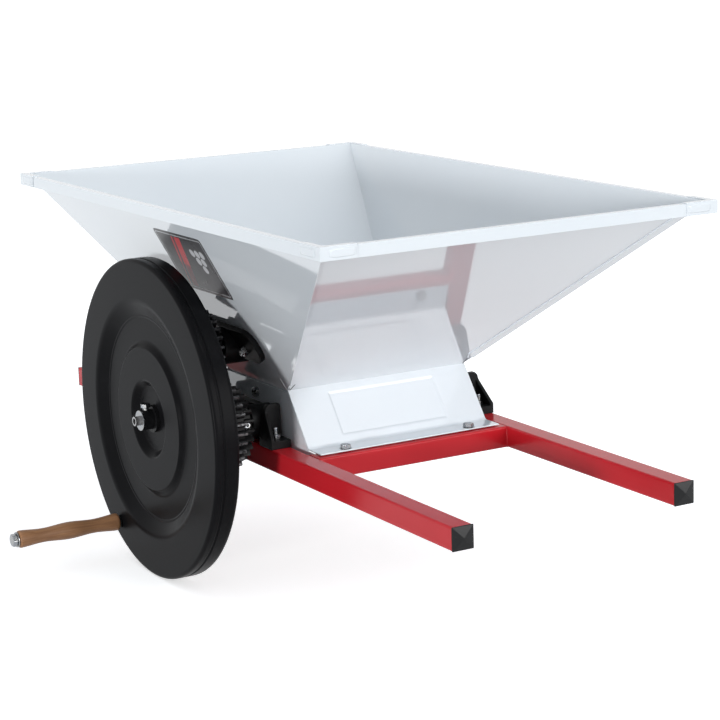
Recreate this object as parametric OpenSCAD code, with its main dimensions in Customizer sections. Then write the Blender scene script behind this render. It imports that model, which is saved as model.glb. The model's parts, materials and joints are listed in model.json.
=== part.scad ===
// Hand cranked grape crusher: a sheet hopper over two fluted rollers, carried by two
// square tube rails that lie across a vat. Millimetres, +Z up, +X away from the flywheel.
// The origin lies midway between the rails, under the hopper's centre, at the rails' underside.

/* [Frame] */
// Side of the square frame tube
tube_side = 30; // [26:1:36]
// Wall of the frame tube
tube_wall = 2; // [1.5:0.5:3]
// Outside corner radius of the frame tube
tube_corner = 3; // [2.5:0.5:4]
// Length of each rail
rail_length = 1118; // [900:2:1300]
// Gap between the side of the skirt and a rail
rail_clear = 7; // [5:0.5:15]
// How far a crossbar stands out past the foot of the skirt
crossbar_lip = 9.5; // [5:0.5:12]
// Depth of the plug of an end cap
cap_plug = 16; // [10:1:30]
// Thickness of the edge of an end cap
cap_edge = 2; // [1:0.5:4]
// Height of the pyramid on an end cap
cap_peak = 3; // [1:0.5:6]

/* [Hopper] */
// Outer width of the hopper's rim
hopper_width = 577; // [520:1:640]
// Outer length of the hopper's rim
hopper_length = 936; // [840:1:1000]
// Height of the top of the rim
hopper_height = 360; // [330:1:400]
// Height of the rim's outer band
rim_height = 16; // [10:0.5:22]
// Width of the rim's top strip
rim_strip = 9; // [6:0.5:14]
// Thickness of the sheet
sheet = 1.5; // [1:0.1:2.5]
// Width of the hem along one edge of each end wall
hem_width = 18; // [12:1:26]
// Height above the neck at which the seams start
seam_start = 12; // [8:1:20]
// Rise of the slanted lower end of a hem
hem_slant = 8; // [4:1:14]
// Length of each leg of a rim corner cover
corner_leg = 50; // [34:1:64]
// Thickness of a rim corner cover
corner_sheet = 1.2; // [0.8:0.1:2]

/* [Skirt] */
// Length of the skirt at the neck
neck_length = 182; // [176:1:200]
// Height of the neck, where hopper and skirt meet
neck_z = 103; // [98:1:115]
// Length of the skirt at its lower fold
skirt_base = 288; // [270:1:310]
// Length of the skirt's foot flange
skirt_foot = 34.5; // [30:0.5:40]
// Height of the lap where the hopper goes down inside the skirt
skirt_lap = 24; // [20:1:26]
// Depth of the lap bolts below the upper edge of the side plates
lap_bolt_drop = 15; // [13:0.5:17]
// Width of the pressed panel on the skirt's ends
panel_width = 160; // [100:1:200]
// Bare strip above and below the pressed panel
panel_margin = 11; // [6:0.5:18]
// Rise of the pressed panel
panel_rise = 0.8; // [0.4:0.1:1.5]
// Spacing of the two foot bolts at each end of the skirt
foot_bolt_spacing = 195; // [150:1:230]
// Height of the lower edge of the side plates
plate_bottom = 8; // [2:1:20]
// Gap between a side plate and a crossbar
plate_gap = 0.5; // [0.3:0.1:2]

/* [Shafts and rollers] */
// Diameter of the three shafts
shaft_d = 20; // [16:1:24]
// Height of the roller shafts
shaft_z = 59; // [56:0.5:62]
// Length of the rollers
roller_length = 268; // [240:1:300]
// Gap between the end of a roller and the hopper's lap beside it
roller_clear = 4; // [3:0.5:8]
// Gap between the two rollers
roller_gap = 6; // [5:0.5:10]
// Number of flutes on a roller
flute_count = 12; // [8:1:16]
// Radius of a flute
flute_r = 7; // [4:0.5:8]
// How far a flute's centre lies outside the roller
flute_out = 2; // [1:0.5:4]
// Diameter of the cross pins that hold a roller on its shaft
pin_d = 6; // [4:0.5:8]
// Distance of a cross pin from the roller's end
pin_inset = 16; // [10:1:30]
// Wall of a bush
bush_wall = 4; // [3:0.5:6]
// Radial clearance of a shaft that turns in its bush
running_gap = 0.05; // [0.03:0.01:0.08]
// Radial clearance of a piece that is fixed on its seat
seat_gap = 0.05; // [0.03:0.01:0.08]
// Radial clearance of a bolt in its hole
bolt_gap = 0.4; // [0.2:0.1:0.8]
// Radial clearance of a shaft in a sheet
sheet_hole_gap = 2; // [1:0.5:4]
// End play between turning and fixed faces
end_play = 0.5; // [0.3:0.1:1]
// Width of a retaining collar
collar_width = 4; // [3:0.5:8]
// Wall of a retaining collar
collar_wall = 7; // [5:0.5:9]
// How far a shaft stands out past its gear
shaft_over = 5; // [2:1:8]
// How far a shaft stands out past its collar
collar_over = 1.5; // [0.5:0.5:4]

/* [Brackets] */
// Thickness of a bracket's foot
bracket_foot = 11; // [8:0.5:14]
// Length of a bracket's foot
foot_length = 34; // [28:1:40]
// Distance between the two studs of a bracket
stud_span = 184; // [180:1:196]
// Diameter of the studs
stud_d = 8; // [6:1:9]
// How far a stud stands out past its nut
stud_over = 9; // [4:1:14]
// Thickness of a bracket's web
bracket_web = 12; // [9:0.5:15]
// Height of the web above the rail
web_height = 47; // [44:1:54]
// Thickness of a bracket's gussets
gusset = 8; // [6:0.5:11]
// Height of the gussets above the rail
gusset_height = 56; // [50:1:64]
// Thickness of the ribs along a bracket's outer side
rib_t = 5; // [4:0.5:5.5]
// How far those ribs lean inward from the foot to their top
rib_lean = 6; // [4:0.5:8]
// How far the ribs end below the top of the gussets
rib_drop = 11; // [9:0.5:16]
// Wall of a bracket's bearing boss round its bush
boss_wall = 8; // [6:0.5:11]
// How far a bearing boss on the flywheel's side stands out past the rail
boss_over = 6; // [2:0.5:8]
// How far a bearing boss on the other side ends short of the rail's outer face
boss_short = 12; // [8:0.5:14]

/* [Gears] */
// Module of the gears
gear_module = 4; // [3.8:0.1:4.2]
// Teeth of each of the two gears that couple the rollers
pair_teeth = 24; // [23:1:25]
// Teeth of the gear on the driven roller that turns the agitator
roller_teeth = 30; // [29:1:32]
// Teeth of the gear on the agitator
agitator_teeth = 25; // [24:1:28]
// Width of the gears that couple the rollers
pair_face = 16; // [14:1:18]
// Width of the gears that turn the agitator
gear_face = 25; // [18:1:28]
// Length of the hubs of the gears that couple the rollers
hub_length = 13.5; // [12:0.5:16]
// Wall of the gears' hubs
hub_wall = 8; // [6:0.5:10]
// Depth of the recess in the faces of the gears that turn the agitator
gear_recess = 5; // [2:0.5:8]
// Width of the toothed ring left beside that recess
gear_ring = 9; // [6:0.5:12]
// Play between meshed teeth
backlash = 0.4; // [0.3:0.05:0.6]
// Diameter of the gears' set screws
screw_d = 8; // [6:0.5:8.5]
// Depth of the socket in those screws
socket_depth = 4; // [2:0.5:5]

/* [Agitator] */
// Number of stirring rods
rod_count = 7; // [4:1:9]
// Diameter of a stirring rod
rod_d = 10; // [6:0.5:11]
// Reach of a stirring rod from the shaft's axis
rod_reach = 54; // [40:1:58]
// Length of the shaft that carries the rods
rod_row = 220; // [160:2:240]
// Turn from one rod to the next, in degrees
rod_turn = 60; // [30:5:90]
// Width of an agitator bearing's flange
flange_width = 166; // [150:1:176]
// Height of an agitator bearing's flange above the shaft, along the wall
flange_up = 36; // [34:1:40]
// Height of an agitator bearing's flange below the shaft, along the wall
flange_down = 16; // [16:1:22]
// Thickness of an agitator bearing's flange
flange_t = 8; // [6:0.5:11]
// Corner radius of an agitator bearing's flange
flange_corner = 22; // [16:1:24]
// Radius of an agitator bearing's boss
agitator_boss_r = 26; // [22:0.5:30]
// Length of an agitator bearing's boss, measured from the wall
agitator_boss = 29; // [26:0.5:31]
// Spacing of the two bolts of an agitator bearing
flange_bolt_spacing = 90; // [80:1:100]
// Distance of those bolts above the shaft, along the wall
flange_bolt_rise = 4; // [0:1:8]
// Diameter of the bolts of the agitator bearings
flange_bolt_d = 8; // [6:1:9]

/* [Flywheel] */
// Diameter of the flywheel
wheel_d = 445; // [438:1:466]
// Width of the flywheel's rim
wheel_width = 36; // [32:0.5:40]
// Length of the spacer between the drive gear and the flywheel
wheel_spacer = 42; // [40:0.5:50]
// Radius of the rounded edges of the flywheel's rim
wheel_round = 9; // [6:0.5:10]
// Width of the groove round the rim
groove_width = 3; // [2:0.5:4]
// Depth of the groove round the rim
groove_depth = 1.5; // [0.5:0.1:2.5]
// Width of the bead in front of the groove
bead_width = 11; // [10.5:0.5:13]
// Radius at which the outer face ends
face_r = 165; // [160:0.5:168]
// Radius at which the ring shaped trough starts
trough_r = 143; // [138:0.5:147]
// Depth of the ring shaped trough
trough_depth = 11; // [7:0.5:12]
// Radius of the centre disc at its foot
disc_foot_r = 107; // [103:0.5:110]
// Radius of the centre disc at its face
disc_r = 100; // [92:0.5:102]
// Depth of the centre disc's face below the outer face
disc_depth = 5; // [3:0.5:6]
// Radius of the dish round the hub at its mouth
dish_r = 54; // [48:0.5:58]
// Radius of the dish at its floor
dish_floor_r = 45; // [38:0.5:47]
// Depth of the dish below the outer face
dish_depth = 15; // [11:0.5:16]
// Thickness of the flywheel's back cover
back_t = 4; // [3:0.5:5]
// Radius of the flywheel's back cover
back_r = 206; // [201:0.5:208]
// Inner radius of the iron ring inside the flywheel
ring_in_r = 106; // [100:0.5:120]
// Outer radius of the iron ring inside the flywheel
ring_out_r = 181; // [165:0.5:186]
// Skin of the flywheel in front of the iron ring
wheel_skin = 3.5; // [3:0.25:4]
// Radius of the flange of the flywheel's hub
hub_flange_r = 19; // [17:0.5:24]
// Thickness of the flange of the flywheel's hub
hub_flange = 5; // [3:0.5:7]
// Length of the neck of the flywheel's hub
hub_neck = 15; // [14:0.5:20]
// Diameter of the set screw in the flywheel's hub
hub_screw_d = 8; // [6:0.5:8.5]
// How far that screw's shank stands out past the hub
screw_over = 3; // [1:0.5:6]
// Thickness of the washer on the drive shaft's end
end_washer = 2.5; // [2:0.25:4]
// Diameter of the threaded end of the drive shaft
shaft_tip_d = 13; // [12:0.5:15]
// Length of the threaded end past its washer
shaft_tip = 8; // [5:0.5:14]
// Diameter of the centre hole in that end
tip_hole_d = 8.5; // [5:0.5:9]

/* [Crank] */
// Radius of the crank pin
crank_radius = 200; // [194:0.5:204]
// Angle of the crank pin from the flywheel's lowest point, in degrees
crank_angle = 32; // [0:1:90]
// Diameter of the crank pin
crank_d = 10; // [8:0.5:11]
// Length of the wooden grip
grip_length = 153; // [120:1:170]
// Diameter of the grip at its root and tip
grip_end_d = 25; // [22:0.5:30]
// Diameter of the grip at its necks
grip_neck_d = 20; // [18:0.5:22]
// Diameter of the grip at its belly
grip_belly_d = 24.5; // [22:0.5:28]
// Length of the collar at the root of the grip
root_collar = 2.5; // [2:0.5:6]
// Diameter of the collar at the root of the grip
root_collar_d = 18; // [16:0.5:22]

/* [Hidden] */
$fn = 64;

// Small steps that let one cut run past the face that it cuts
cut = 1;
// Points on the flank of a gear tooth, and on a rounded edge
flank_steps = 4;
round_steps = 8;
pressure_angle = 20;

// Rails and crossbars
skirt_width = roller_length + 2 * roller_clear + 4 * sheet;
rail_gap = skirt_width + 2 * rail_clear;
rail_x = (rail_gap + tube_side) / 2;
foot_end = skirt_base / 2 + skirt_foot;
crossbar_y = foot_end + crossbar_lip - tube_side / 2;
foot_bolt_y = foot_end - (tube_side - crossbar_lip) / 2;
foot_bolt_d = 8;

// Slopes of skirt and hopper, as outward run for each millimetre of height
fold_z = tube_side + sheet;
skirt_slope = (skirt_base - neck_length) / 2 / (neck_z - fold_z);
skirt_skin = sheet * sqrt(1 + skirt_slope * skirt_slope);
lap_x = skirt_width / 2 - 2 * sheet;
lap_y = neck_length / 2 - 2 * skirt_skin;
side_slope = (hopper_width / 2 - rim_strip - lap_x) / (hopper_height - neck_z);
end_slope = (hopper_length / 2 - rim_strip - lap_y) / (hopper_height - neck_z);
side_skin = sheet * sqrt(1 + side_slope * side_slope);
end_skin = sheet * sqrt(1 + end_slope * end_slope);
rim_z = hopper_height - rim_height;
plate_top = neck_z - sheet;
plate_tab_y = crossbar_y - tube_side / 2 - plate_gap;
lap_bolt_z = plate_top - lap_bolt_drop;
lap_bolt_d = 8;

// Gear train, in the plane across the shafts
roller_gear_r = gear_module * roller_teeth / 2;
agitator_gear_r = gear_module * agitator_teeth / 2;
roller_y = gear_module * pair_teeth / 2;
upper_reach = roller_gear_r + agitator_gear_r;
agitator_z = shaft_z + sqrt(upper_reach * upper_reach - roller_y * roller_y);
upper_angle = atan2(agitator_z - shaft_z, roller_y);
pair_phase = 180 + 180 / pair_teeth;
agitator_phase = upper_angle + 180 + 180 / agitator_teeth
    + upper_angle * roller_teeth / agitator_teeth;

// Places along the shafts, as distances from the middle
shaft_r = shaft_d / 2;
roller_r = roller_y - roller_gap / 2;
bush_r = shaft_r + bush_wall;
bracket_in = rail_gap / 2;
rail_out = bracket_in + tube_side;
boss_end = rail_out + boss_over;
far_boss_end = rail_out - boss_short;
roller_hub = boss_end + end_play;
pair_in = roller_hub + hub_length;
gear_in = pair_in + pair_face;
gear_out = gear_in + gear_face;
wheel_back = gear_in + wheel_spacer;
wheel_face = wheel_back + wheel_width;
wall_x = lap_x + (agitator_z - neck_z) * side_slope + side_skin;
side_tilt = atan(side_slope);
agitator_boss_end = wall_x + agitator_boss;
bush_start = wall_x + bush_r * side_slope + cut;
web_top = tube_side + web_height;
gusset_top = tube_side + gusset_height;
foot_top = tube_side + bracket_foot;
gusset_y = stud_span / 2 - 1.4 * stud_d;
gusset_lip = 3;
gusset_ease = 2;
lip_z = foot_top + gusset_lip;
rib_top = gusset_top - rib_drop;
rib_top_x = rail_out - rib_lean;

// Flywheel and crank, along the drive shaft
wheel_r = wheel_d / 2;
dish_x = wheel_face - dish_depth;
disc_x = wheel_face - disc_depth;
trough_x = wheel_face - trough_depth;
ring_x = trough_x - wheel_skin;
hub_end = dish_x + hub_flange + hub_neck;
tip_x = hub_end + end_washer + shaft_tip;
crank_r = crank_d / 2;
crank_y = roller_y + crank_radius * sin(crank_angle);
crank_z = shaft_z - crank_radius * cos(crank_angle);
grip_x = wheel_face + root_collar + end_play;
grip_tip = grip_x + grip_length;
tip_washer_t = 1.5;
tip_washer_x = grip_tip + end_play;
crank_tip = tip_washer_x + tip_washer_t;
crank_thread = 4;

// Colours
paint_white = [0.83, 0.85, 0.88];
frame_red = [0.66, 0.08, 0.12];
cast_black = [0.09, 0.09, 0.10];
wheel_black = [0.16, 0.16, 0.17];
zinc = [0.72, 0.73, 0.74];
steel = [0.60, 0.61, 0.62];
bronze = [0.66, 0.49, 0.28];
alloy = [0.68, 0.69, 0.70];
beech = [0.68, 0.46, 0.30];

// Half length of the skirt's outer face at a height
function skirt_out(z) = neck_length / 2 + (neck_z - z) * skirt_slope;
function skirt_in(z) = skirt_out(z) - skirt_skin;
// Half width and half length of the hopper's inner faces at a height
function side_in(z) = lap_x + (z - neck_z) * side_slope;
function end_in(z) = lap_y + (z - neck_z) * end_slope;

// Hex head sizes as shares of the thread, as common hex bolts have
function hex_r(d) = 1.625 * d / sqrt(3);
function hex_h(d) = 0.7 * d;
function washer_r(d) = 1.1 * d;

// A folded sheet: a path along one face, and the other face a thickness to its left
function turn_left(v) = [-v[1], v[0]];
function left_of(a, b) = turn_left(b - a) / norm(b - a);
function fold(a, b, c, t) =
    let (n = left_of(a, b), m = left_of(b, c))
    b + (n + m) * t / (1 + n * m);
function far_face(path, t) = [
    for (i = [len(path) - 1:-1:0])
        i == 0 ? path[0] + left_of(path[0], path[1]) * t
        : i == len(path) - 1 ? path[i] + left_of(path[i - 1], path[i]) * t
        : fold(path[i - 1], path[i], path[i + 1], t)
];
module sheet_section(path, t) {
    polygon(concat(path, far_face(path, t)));
}

// Drawings in the (y, z) plane run along +X, drawings in the (x, z) plane along Y
module along_x(length, center = false) {
    rotate([90, 0, 90]) linear_extrude(length, center = center) children();
}
module along_y(length) {
    rotate([90, 0, 0]) linear_extrude(length, center = true) children();
}
// A drawing of radius and distance, turned round an axis that points to the flywheel's side
module turned(y, z) {
    translate([0, y, z]) rotate([0, -90, 0]) rotate_extrude($fn = 128) children();
}
// A rod along X from one distance to another
module rod_x(x1, x2, y, z, r) {
    translate([x1, y, z]) rotate([0, 90, 0]) cylinder(h = x2 - x1, r = r);
}
module hex(d, h) {
    cylinder(h = h, r = hex_r(d), $fn = 6);
}
module ring(h, outer, inner) {
    difference() {
        cylinder(h = h, r = outer);
        translate([0, 0, -cut]) cylinder(h = h + 2 * cut, r = inner);
    }
}
module rounded_square(x, y, r) {
    square([x - 2 * r, y], center = true);
    square([x, y - 2 * r], center = true);
    for (i = [-1, 1], j = [-1, 1]) translate([i * (x / 2 - r), j * (y / 2 - r)]) circle(r);
}
module tube_section() {
    difference() {
        rounded_square(tube_side, tube_side, tube_corner);
        square(tube_side - 2 * tube_wall, center = true);
    }
}
module mirrored(side) {
    if (side > 0) children();
    else mirror([1, 0, 0]) children();
}

// Frame
module rail(side) {
    color(frame_red) difference() {
        translate([side * rail_x, 0, tube_side / 2]) along_y(rail_length) tube_section();
        for (i = [-1, 1]) translate([side * rail_x, i * stud_span / 2, tube_side / 2])
            cylinder(h = tube_side, r = stud_d / 2 + seat_gap);
    }
}
module crossbar(end) {
    color(frame_red) difference() {
        translate([0, end * crossbar_y, tube_side / 2]) along_x(rail_gap, center = true) tube_section();
        for (i = [-1, 1]) translate([i * foot_bolt_spacing / 2, end * foot_bolt_y, tube_side / 2])
            cylinder(h = tube_side, r = foot_bolt_d / 2 + seat_gap);
    }
}
// End cap, drawn along +Y from the tube's end
module end_cap() {
    plug = tube_side - 2 * tube_wall - 2 * seat_gap;
    half = tube_side / 2;
    translate([0, -cap_plug / 2, 0]) cube([plug, cap_plug, plug], center = true);
    slope = [[-half, 0], [half, 0], [half, cap_edge], [0, cap_edge + cap_peak], [-half, cap_edge]];
    intersection() {
        linear_extrude(tube_side, center = true) polygon(slope);
        rotate([0, 90, 0]) linear_extrude(tube_side, center = true) polygon(slope);
    }
}
module rail_end_caps() {
    color(cast_black) for (side = [-1, 1], end = [0, 1])
        translate([side * rail_x, (end == 0 ? 1 : -1) * rail_length / 2, tube_side / 2])
            rotate([0, 0, end * 180]) end_cap();
}

// Hopper, with the path along the inner face, over the rim and down its band
side_path = [
    [-lap_x, neck_z - skirt_lap], [-lap_x, neck_z],
    [-hopper_width / 2 + rim_strip, hopper_height], [-hopper_width / 2, hopper_height],
    [-hopper_width / 2, rim_z]
];
end_path = [
    [-lap_y - skirt_lap * skirt_slope, neck_z - skirt_lap], [-lap_y, neck_z],
    [-hopper_length / 2 + rim_strip, hopper_height], [-hopper_length / 2, hopper_height],
    [-hopper_length / 2, rim_z]
];
// Half of a side wall's outline: the lap in the skirt, the bare stretch at the neck, the seam, the rim
seam_z = neck_z + seam_start;
side_half = [
    [lap_y + skirt_lap * skirt_slope, neck_z - skirt_lap], [lap_y, neck_z],
    [end_in(seam_z) + end_skin, seam_z], [end_in(seam_z) + 2 * end_skin, seam_z],
    [end_in(rim_z) + 2 * end_skin, rim_z], [hopper_length / 2, rim_z],
    [hopper_length / 2, hopper_height]
];
function both_sides(half) = concat(half, [for (i = [len(half) - 1:-1:0]) [-half[i][0], half[i][1]]]);
end_half = [
    [lap_x, neck_z - skirt_lap], [lap_x, neck_z], [side_in(hopper_height), hopper_height]
];
// Moves to the wall's outer face where the agitator shaft leaves it, with X square to the wall
module on_side_wall() {
    translate([wall_x, 0, agitator_z]) rotate([0, side_tilt, 0]) children();
}
module flange_bolt_places() {
    on_side_wall() for (i = [-1, 1])
        translate([0, i * flange_bolt_spacing / 2, flange_bolt_rise]) rotate([0, 90, 0]) children();
}
module hopper_side(side) {
    color(paint_white) rotate([0, 0, side > 0 ? 0 : 180]) difference() {
        intersection() {
            mirror([1, 0, 0]) along_y(hopper_length) sheet_section(side_path, sheet);
            along_x(hopper_width) polygon(both_sides(side_half));
        }
        rod_x(lap_x, hopper_width, 0, agitator_z, shaft_r + sheet_hole_gap);
        rod_x(0, hopper_width / 2, 0, lap_bolt_z, lap_bolt_d / 2 + bolt_gap);
        flange_bolt_places() cylinder(h = 8 * sheet, r = flange_bolt_d / 2 + bolt_gap, center = true);
    }
}
// The hem of an end wall: its edge is folded back over its outer face
module end_hem() {
    top = seam_z + hem_slant;
    intersection() {
        along_x(hopper_width) polygon([
            [-end_in(seam_z) - end_skin / 2, seam_z], [-end_in(rim_z) - end_skin / 2, rim_z],
            [-end_in(rim_z) - 2 * end_skin, rim_z], [-end_in(seam_z) - 2 * end_skin, seam_z]
        ]);
        along_y(2 * hopper_length) polygon([
            [side_in(seam_z), seam_z], [side_in(rim_z), rim_z],
            [side_in(rim_z) - hem_width, rim_z], [side_in(top) - hem_width, top],
            [side_in(seam_z) - hem_slant, seam_z]
        ]);
    }
}
module hopper_end(end) {
    color(paint_white) rotate([0, 0, end > 0 ? 180 : 0]) {
        intersection() {
            along_x(hopper_width, center = true) sheet_section(end_path, sheet);
            along_y(hopper_length) polygon(both_sides(end_half));
        }
        end_hem();
    }
}
// Rim corner cover: an angle on the rim's top strip and round its outer band
module rim_corner() {
    outer_x = hopper_width / 2 + corner_sheet;
    outer_y = hopper_length / 2 + corner_sheet;
    strip = rim_strip + corner_sheet;
    translate([0, 0, hopper_height]) linear_extrude(corner_sheet) difference() {
        translate([outer_x - corner_leg, outer_y - corner_leg]) square(corner_leg);
        translate([outer_x - corner_leg - cut, outer_y - corner_leg - cut])
            square(corner_leg + cut - strip);
    }
    translate([0, 0, rim_z]) linear_extrude(rim_height) difference() {
        translate([outer_x - corner_leg, outer_y - corner_leg]) square(corner_leg);
        translate([outer_x - corner_leg - cut, outer_y - corner_leg - cut])
            square(corner_leg + cut - corner_sheet);
    }
}
module rim_corners() {
    color(paint_white) for (i = [0, 1], j = [0, 1])
        mirror([i, 0, 0]) mirror([0, j, 0]) rim_corner();
}

// Skirt
skirt_path = [
    [-neck_length / 2, neck_z], [-skirt_base / 2, fold_z], [-foot_end, fold_z]
];
skirt_tilt = atan(skirt_slope);
skirt_face = (neck_z - fold_z) / cos(skirt_tilt);
module skirt_end(end) {
    color(paint_white) mirror([0, end > 0 ? 1 : 0, 0]) difference() {
        union() {
            along_x(skirt_width, center = true) sheet_section(skirt_path, sheet);
            translate([0, -skirt_base / 2, fold_z]) rotate([-skirt_tilt, 0, 0])
                translate([-panel_width / 2, -panel_rise, panel_margin])
                    cube([panel_width, panel_rise + sheet / 2, skirt_face - 2 * panel_margin]);
        }
        for (i = [-1, 1]) translate([i * foot_bolt_spacing / 2, -foot_bolt_y, tube_side - cut])
            cylinder(h = sheet + 2 * cut, r = foot_bolt_d / 2 + bolt_gap);
    }
}
plate_half = [
    [plate_tab_y, plate_bottom], [plate_tab_y, tube_side], [skirt_in(tube_side), tube_side],
    [skirt_in(plate_top), plate_top]
];
module skirt_plate(side) {
    color(paint_white) mirrored(side) difference() {
        translate([skirt_width / 2 - sheet, 0, 0]) along_x(sheet) polygon(both_sides(plate_half));
        for (i = [-1, 1])
            rod_x(lap_x, skirt_width, i * roller_y, shaft_z, shaft_r + sheet_hole_gap);
        rod_x(lap_x, skirt_width, 0, lap_bolt_z, lap_bolt_d / 2 + bolt_gap);
    }
}
module foot_bolt_places() {
    for (i = [-1, 1], j = [-1, 1])
        translate([i * foot_bolt_spacing / 2, j * foot_bolt_y, fold_z]) children();
}
module skirt_bolts() {
    color(zinc) foot_bolt_places() {
        translate([0, 0, foot_bolt_d / 5]) hex(foot_bolt_d, hex_h(foot_bolt_d));
        translate([0, 0, -tube_side / 2]) cylinder(h = tube_side / 2 + cut, r = foot_bolt_d / 2);
    }
}
module skirt_washers() {
    color(zinc) foot_bolt_places()
        ring(foot_bolt_d / 5, washer_r(foot_bolt_d), foot_bolt_d / 2 + seat_gap);
}
// Bolts through the laps, with the head outside and the nut inside
module lap_places() {
    for (side = [-1, 1]) mirrored(side) translate([skirt_width / 2, 0, lap_bolt_z])
        rotate([0, 90, 0]) children();
}
lap_nut_h = 0.5 * lap_bolt_d;
lap_bolt_in = 2 * sheet + lap_nut_h + cut;
module lap_bolts() {
    color(zinc) lap_places() {
        hex(lap_bolt_d, hex_h(lap_bolt_d));
        translate([0, 0, -lap_bolt_in]) cylinder(h = lap_bolt_in + cut, r = lap_bolt_d / 2);
    }
}
module lap_nuts() {
    color(zinc) lap_places() translate([0, 0, -2 * sheet - lap_nut_h]) difference() {
        hex(lap_bolt_d, lap_nut_h);
        translate([0, 0, -cut]) cylinder(h = lap_nut_h + 2 * cut, r = lap_bolt_d / 2 + seat_gap);
    }
}

// Roller brackets
function boss_reach(side) = side < 0 ? boss_end : far_boss_end;
// Rib along the outer side, leaning inward, from the end of a foot up to the gusset
module outer_rib(end) {
    foot_front = (stud_span + foot_length) / 2;
    back = gusset_y - gusset / 2;
    intersection() {
        along_x(2 * rail_out) polygon([
            [end * foot_front, tube_side], [end * foot_front, lip_z], [end * gusset_y, rib_top],
            [end * back, rib_top], [end * back, tube_side]
        ]);
        along_y(3 * foot_front) polygon([
            [rail_out - rib_t, tube_side], [rail_out, tube_side], [rail_out, lip_z],
            [rib_top_x, rib_top], [rib_top_x - rib_t, rib_top], [rail_out - rib_t, lip_z]
        ]);
    }
}
module bracket(side) {
    web_round = 8;
    color(cast_black) mirrored(side) difference() {
        union() {
            for (i = [-1, 1]) {
                translate([bracket_in, i * stud_span / 2 - foot_length / 2, tube_side])
                    cube([tube_side, foot_length, bracket_foot]);
                translate([0, i * (gusset_y - gusset / 2), 0]) along_y(gusset) polygon([
                    [bracket_in, tube_side], [rail_out, tube_side], [rail_out, lip_z], [rib_top_x, rib_top],
                    [rib_top_x - gusset_ease, gusset_top - 2 * gusset_ease],
                    [rib_top_x - 3 * gusset_ease, gusset_top], [bracket_in + gusset_ease, gusset_top],
                    [bracket_in, gusset_top - 2 * gusset_ease]
                ]);
                outer_rib(i);
                rod_x(bracket_in, boss_reach(side), i * roller_y, shaft_z, bush_r + seat_gap + boss_wall);
            }
            translate([bracket_in, 0, tube_side + web_height / 2]) along_x(bracket_web)
                rounded_square(2 * gusset_y, web_height, web_round);
        }
        for (i = [-1, 1]) {
            rod_x(0, boss_end + cut, i * roller_y, shaft_z, bush_r + seat_gap);
            translate([rail_x, i * stud_span / 2, 0])
                cylinder(h = foot_top + cut, r = stud_d / 2 + bolt_gap);
        }
    }
}
module stud_places() {
    for (i = [-1, 1], j = [-1, 1]) translate([i * rail_x, j * stud_span / 2, 0]) children();
}
stud_nut_h = 0.8 * stud_d;
module bracket_studs() {
    head = 0.4 * stud_d;
    inside = tube_side - tube_wall;
    color(zinc) stud_places() {
        translate([0, 0, inside - head]) cylinder(h = head, r = stud_d);
        translate([0, 0, inside - cut])
            cylinder(h = tube_wall + cut + bracket_foot + stud_nut_h + stud_over, r = stud_d / 2);
    }
}
module bracket_nuts() {
    color(zinc) stud_places() translate([0, 0, foot_top]) difference() {
        hex(stud_d, stud_nut_h);
        translate([0, 0, -cut]) cylinder(h = stud_nut_h + 2 * cut, r = stud_d / 2 + seat_gap);
    }
}
module roller_bushes() {
    color(bronze) for (side = [-1, 1], i = [-1, 1]) mirrored(side)
        translate([bracket_in, i * roller_y, shaft_z]) rotate([0, 90, 0])
            ring(boss_reach(side) - bracket_in, bush_r, shaft_r + running_gap);
}

// Agitator bearings, bolted to the sloping side walls
module agitator_bearing(side) {
    plate_mid = (flange_up - flange_down) / 2;
    color(cast_black) mirrored(side) difference() {
        union() {
            on_side_wall() translate([0, 0, plate_mid]) along_x(flange_t)
                rounded_square(flange_width, flange_up + flange_down, flange_corner);
            difference() {
                rod_x(wall_x - agitator_boss, agitator_boss_end, 0, agitator_z, agitator_boss_r);
                on_side_wall() translate([-2 * agitator_boss, 0, 0])
                    cube(4 * agitator_boss, center = true);
            }
        }
        rod_x(0, agitator_boss_end + cut, 0, agitator_z, bush_r + seat_gap);
        flange_bolt_places() cylinder(h = 4 * flange_t, r = flange_bolt_d / 2 + bolt_gap, center = true);
    }
}
module agitator_bushes() {
    color(bronze) for (side = [-1, 1]) mirrored(side)
        translate([bush_start, 0, agitator_z]) rotate([0, 90, 0])
            ring(agitator_boss_end - bush_start, bush_r, shaft_r + running_gap);
}
flange_nut_h = 0.8 * flange_bolt_d;
module agitator_bearing_bolts() {
    head = 0.45 * flange_bolt_d;
    reach = sheet + flange_t + flange_nut_h + 0.4 * flange_bolt_d;
    color(zinc) for (side = [-1, 1]) mirrored(side) flange_bolt_places() translate([0, 0, -sheet]) {
        translate([0, 0, -head]) cylinder(h = head, r = flange_bolt_d);
        translate([0, 0, -cut]) cylinder(h = reach + cut, r = flange_bolt_d / 2);
    }
}
module agitator_bearing_nuts() {
    color(zinc) for (side = [-1, 1]) mirrored(side) flange_bolt_places() translate([0, 0, flange_t])
        difference() {
            hex(flange_bolt_d, flange_nut_h);
            translate([0, 0, -cut]) cylinder(h = flange_nut_h + 2 * cut, r = flange_bolt_d / 2 + seat_gap);
        }
}

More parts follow.
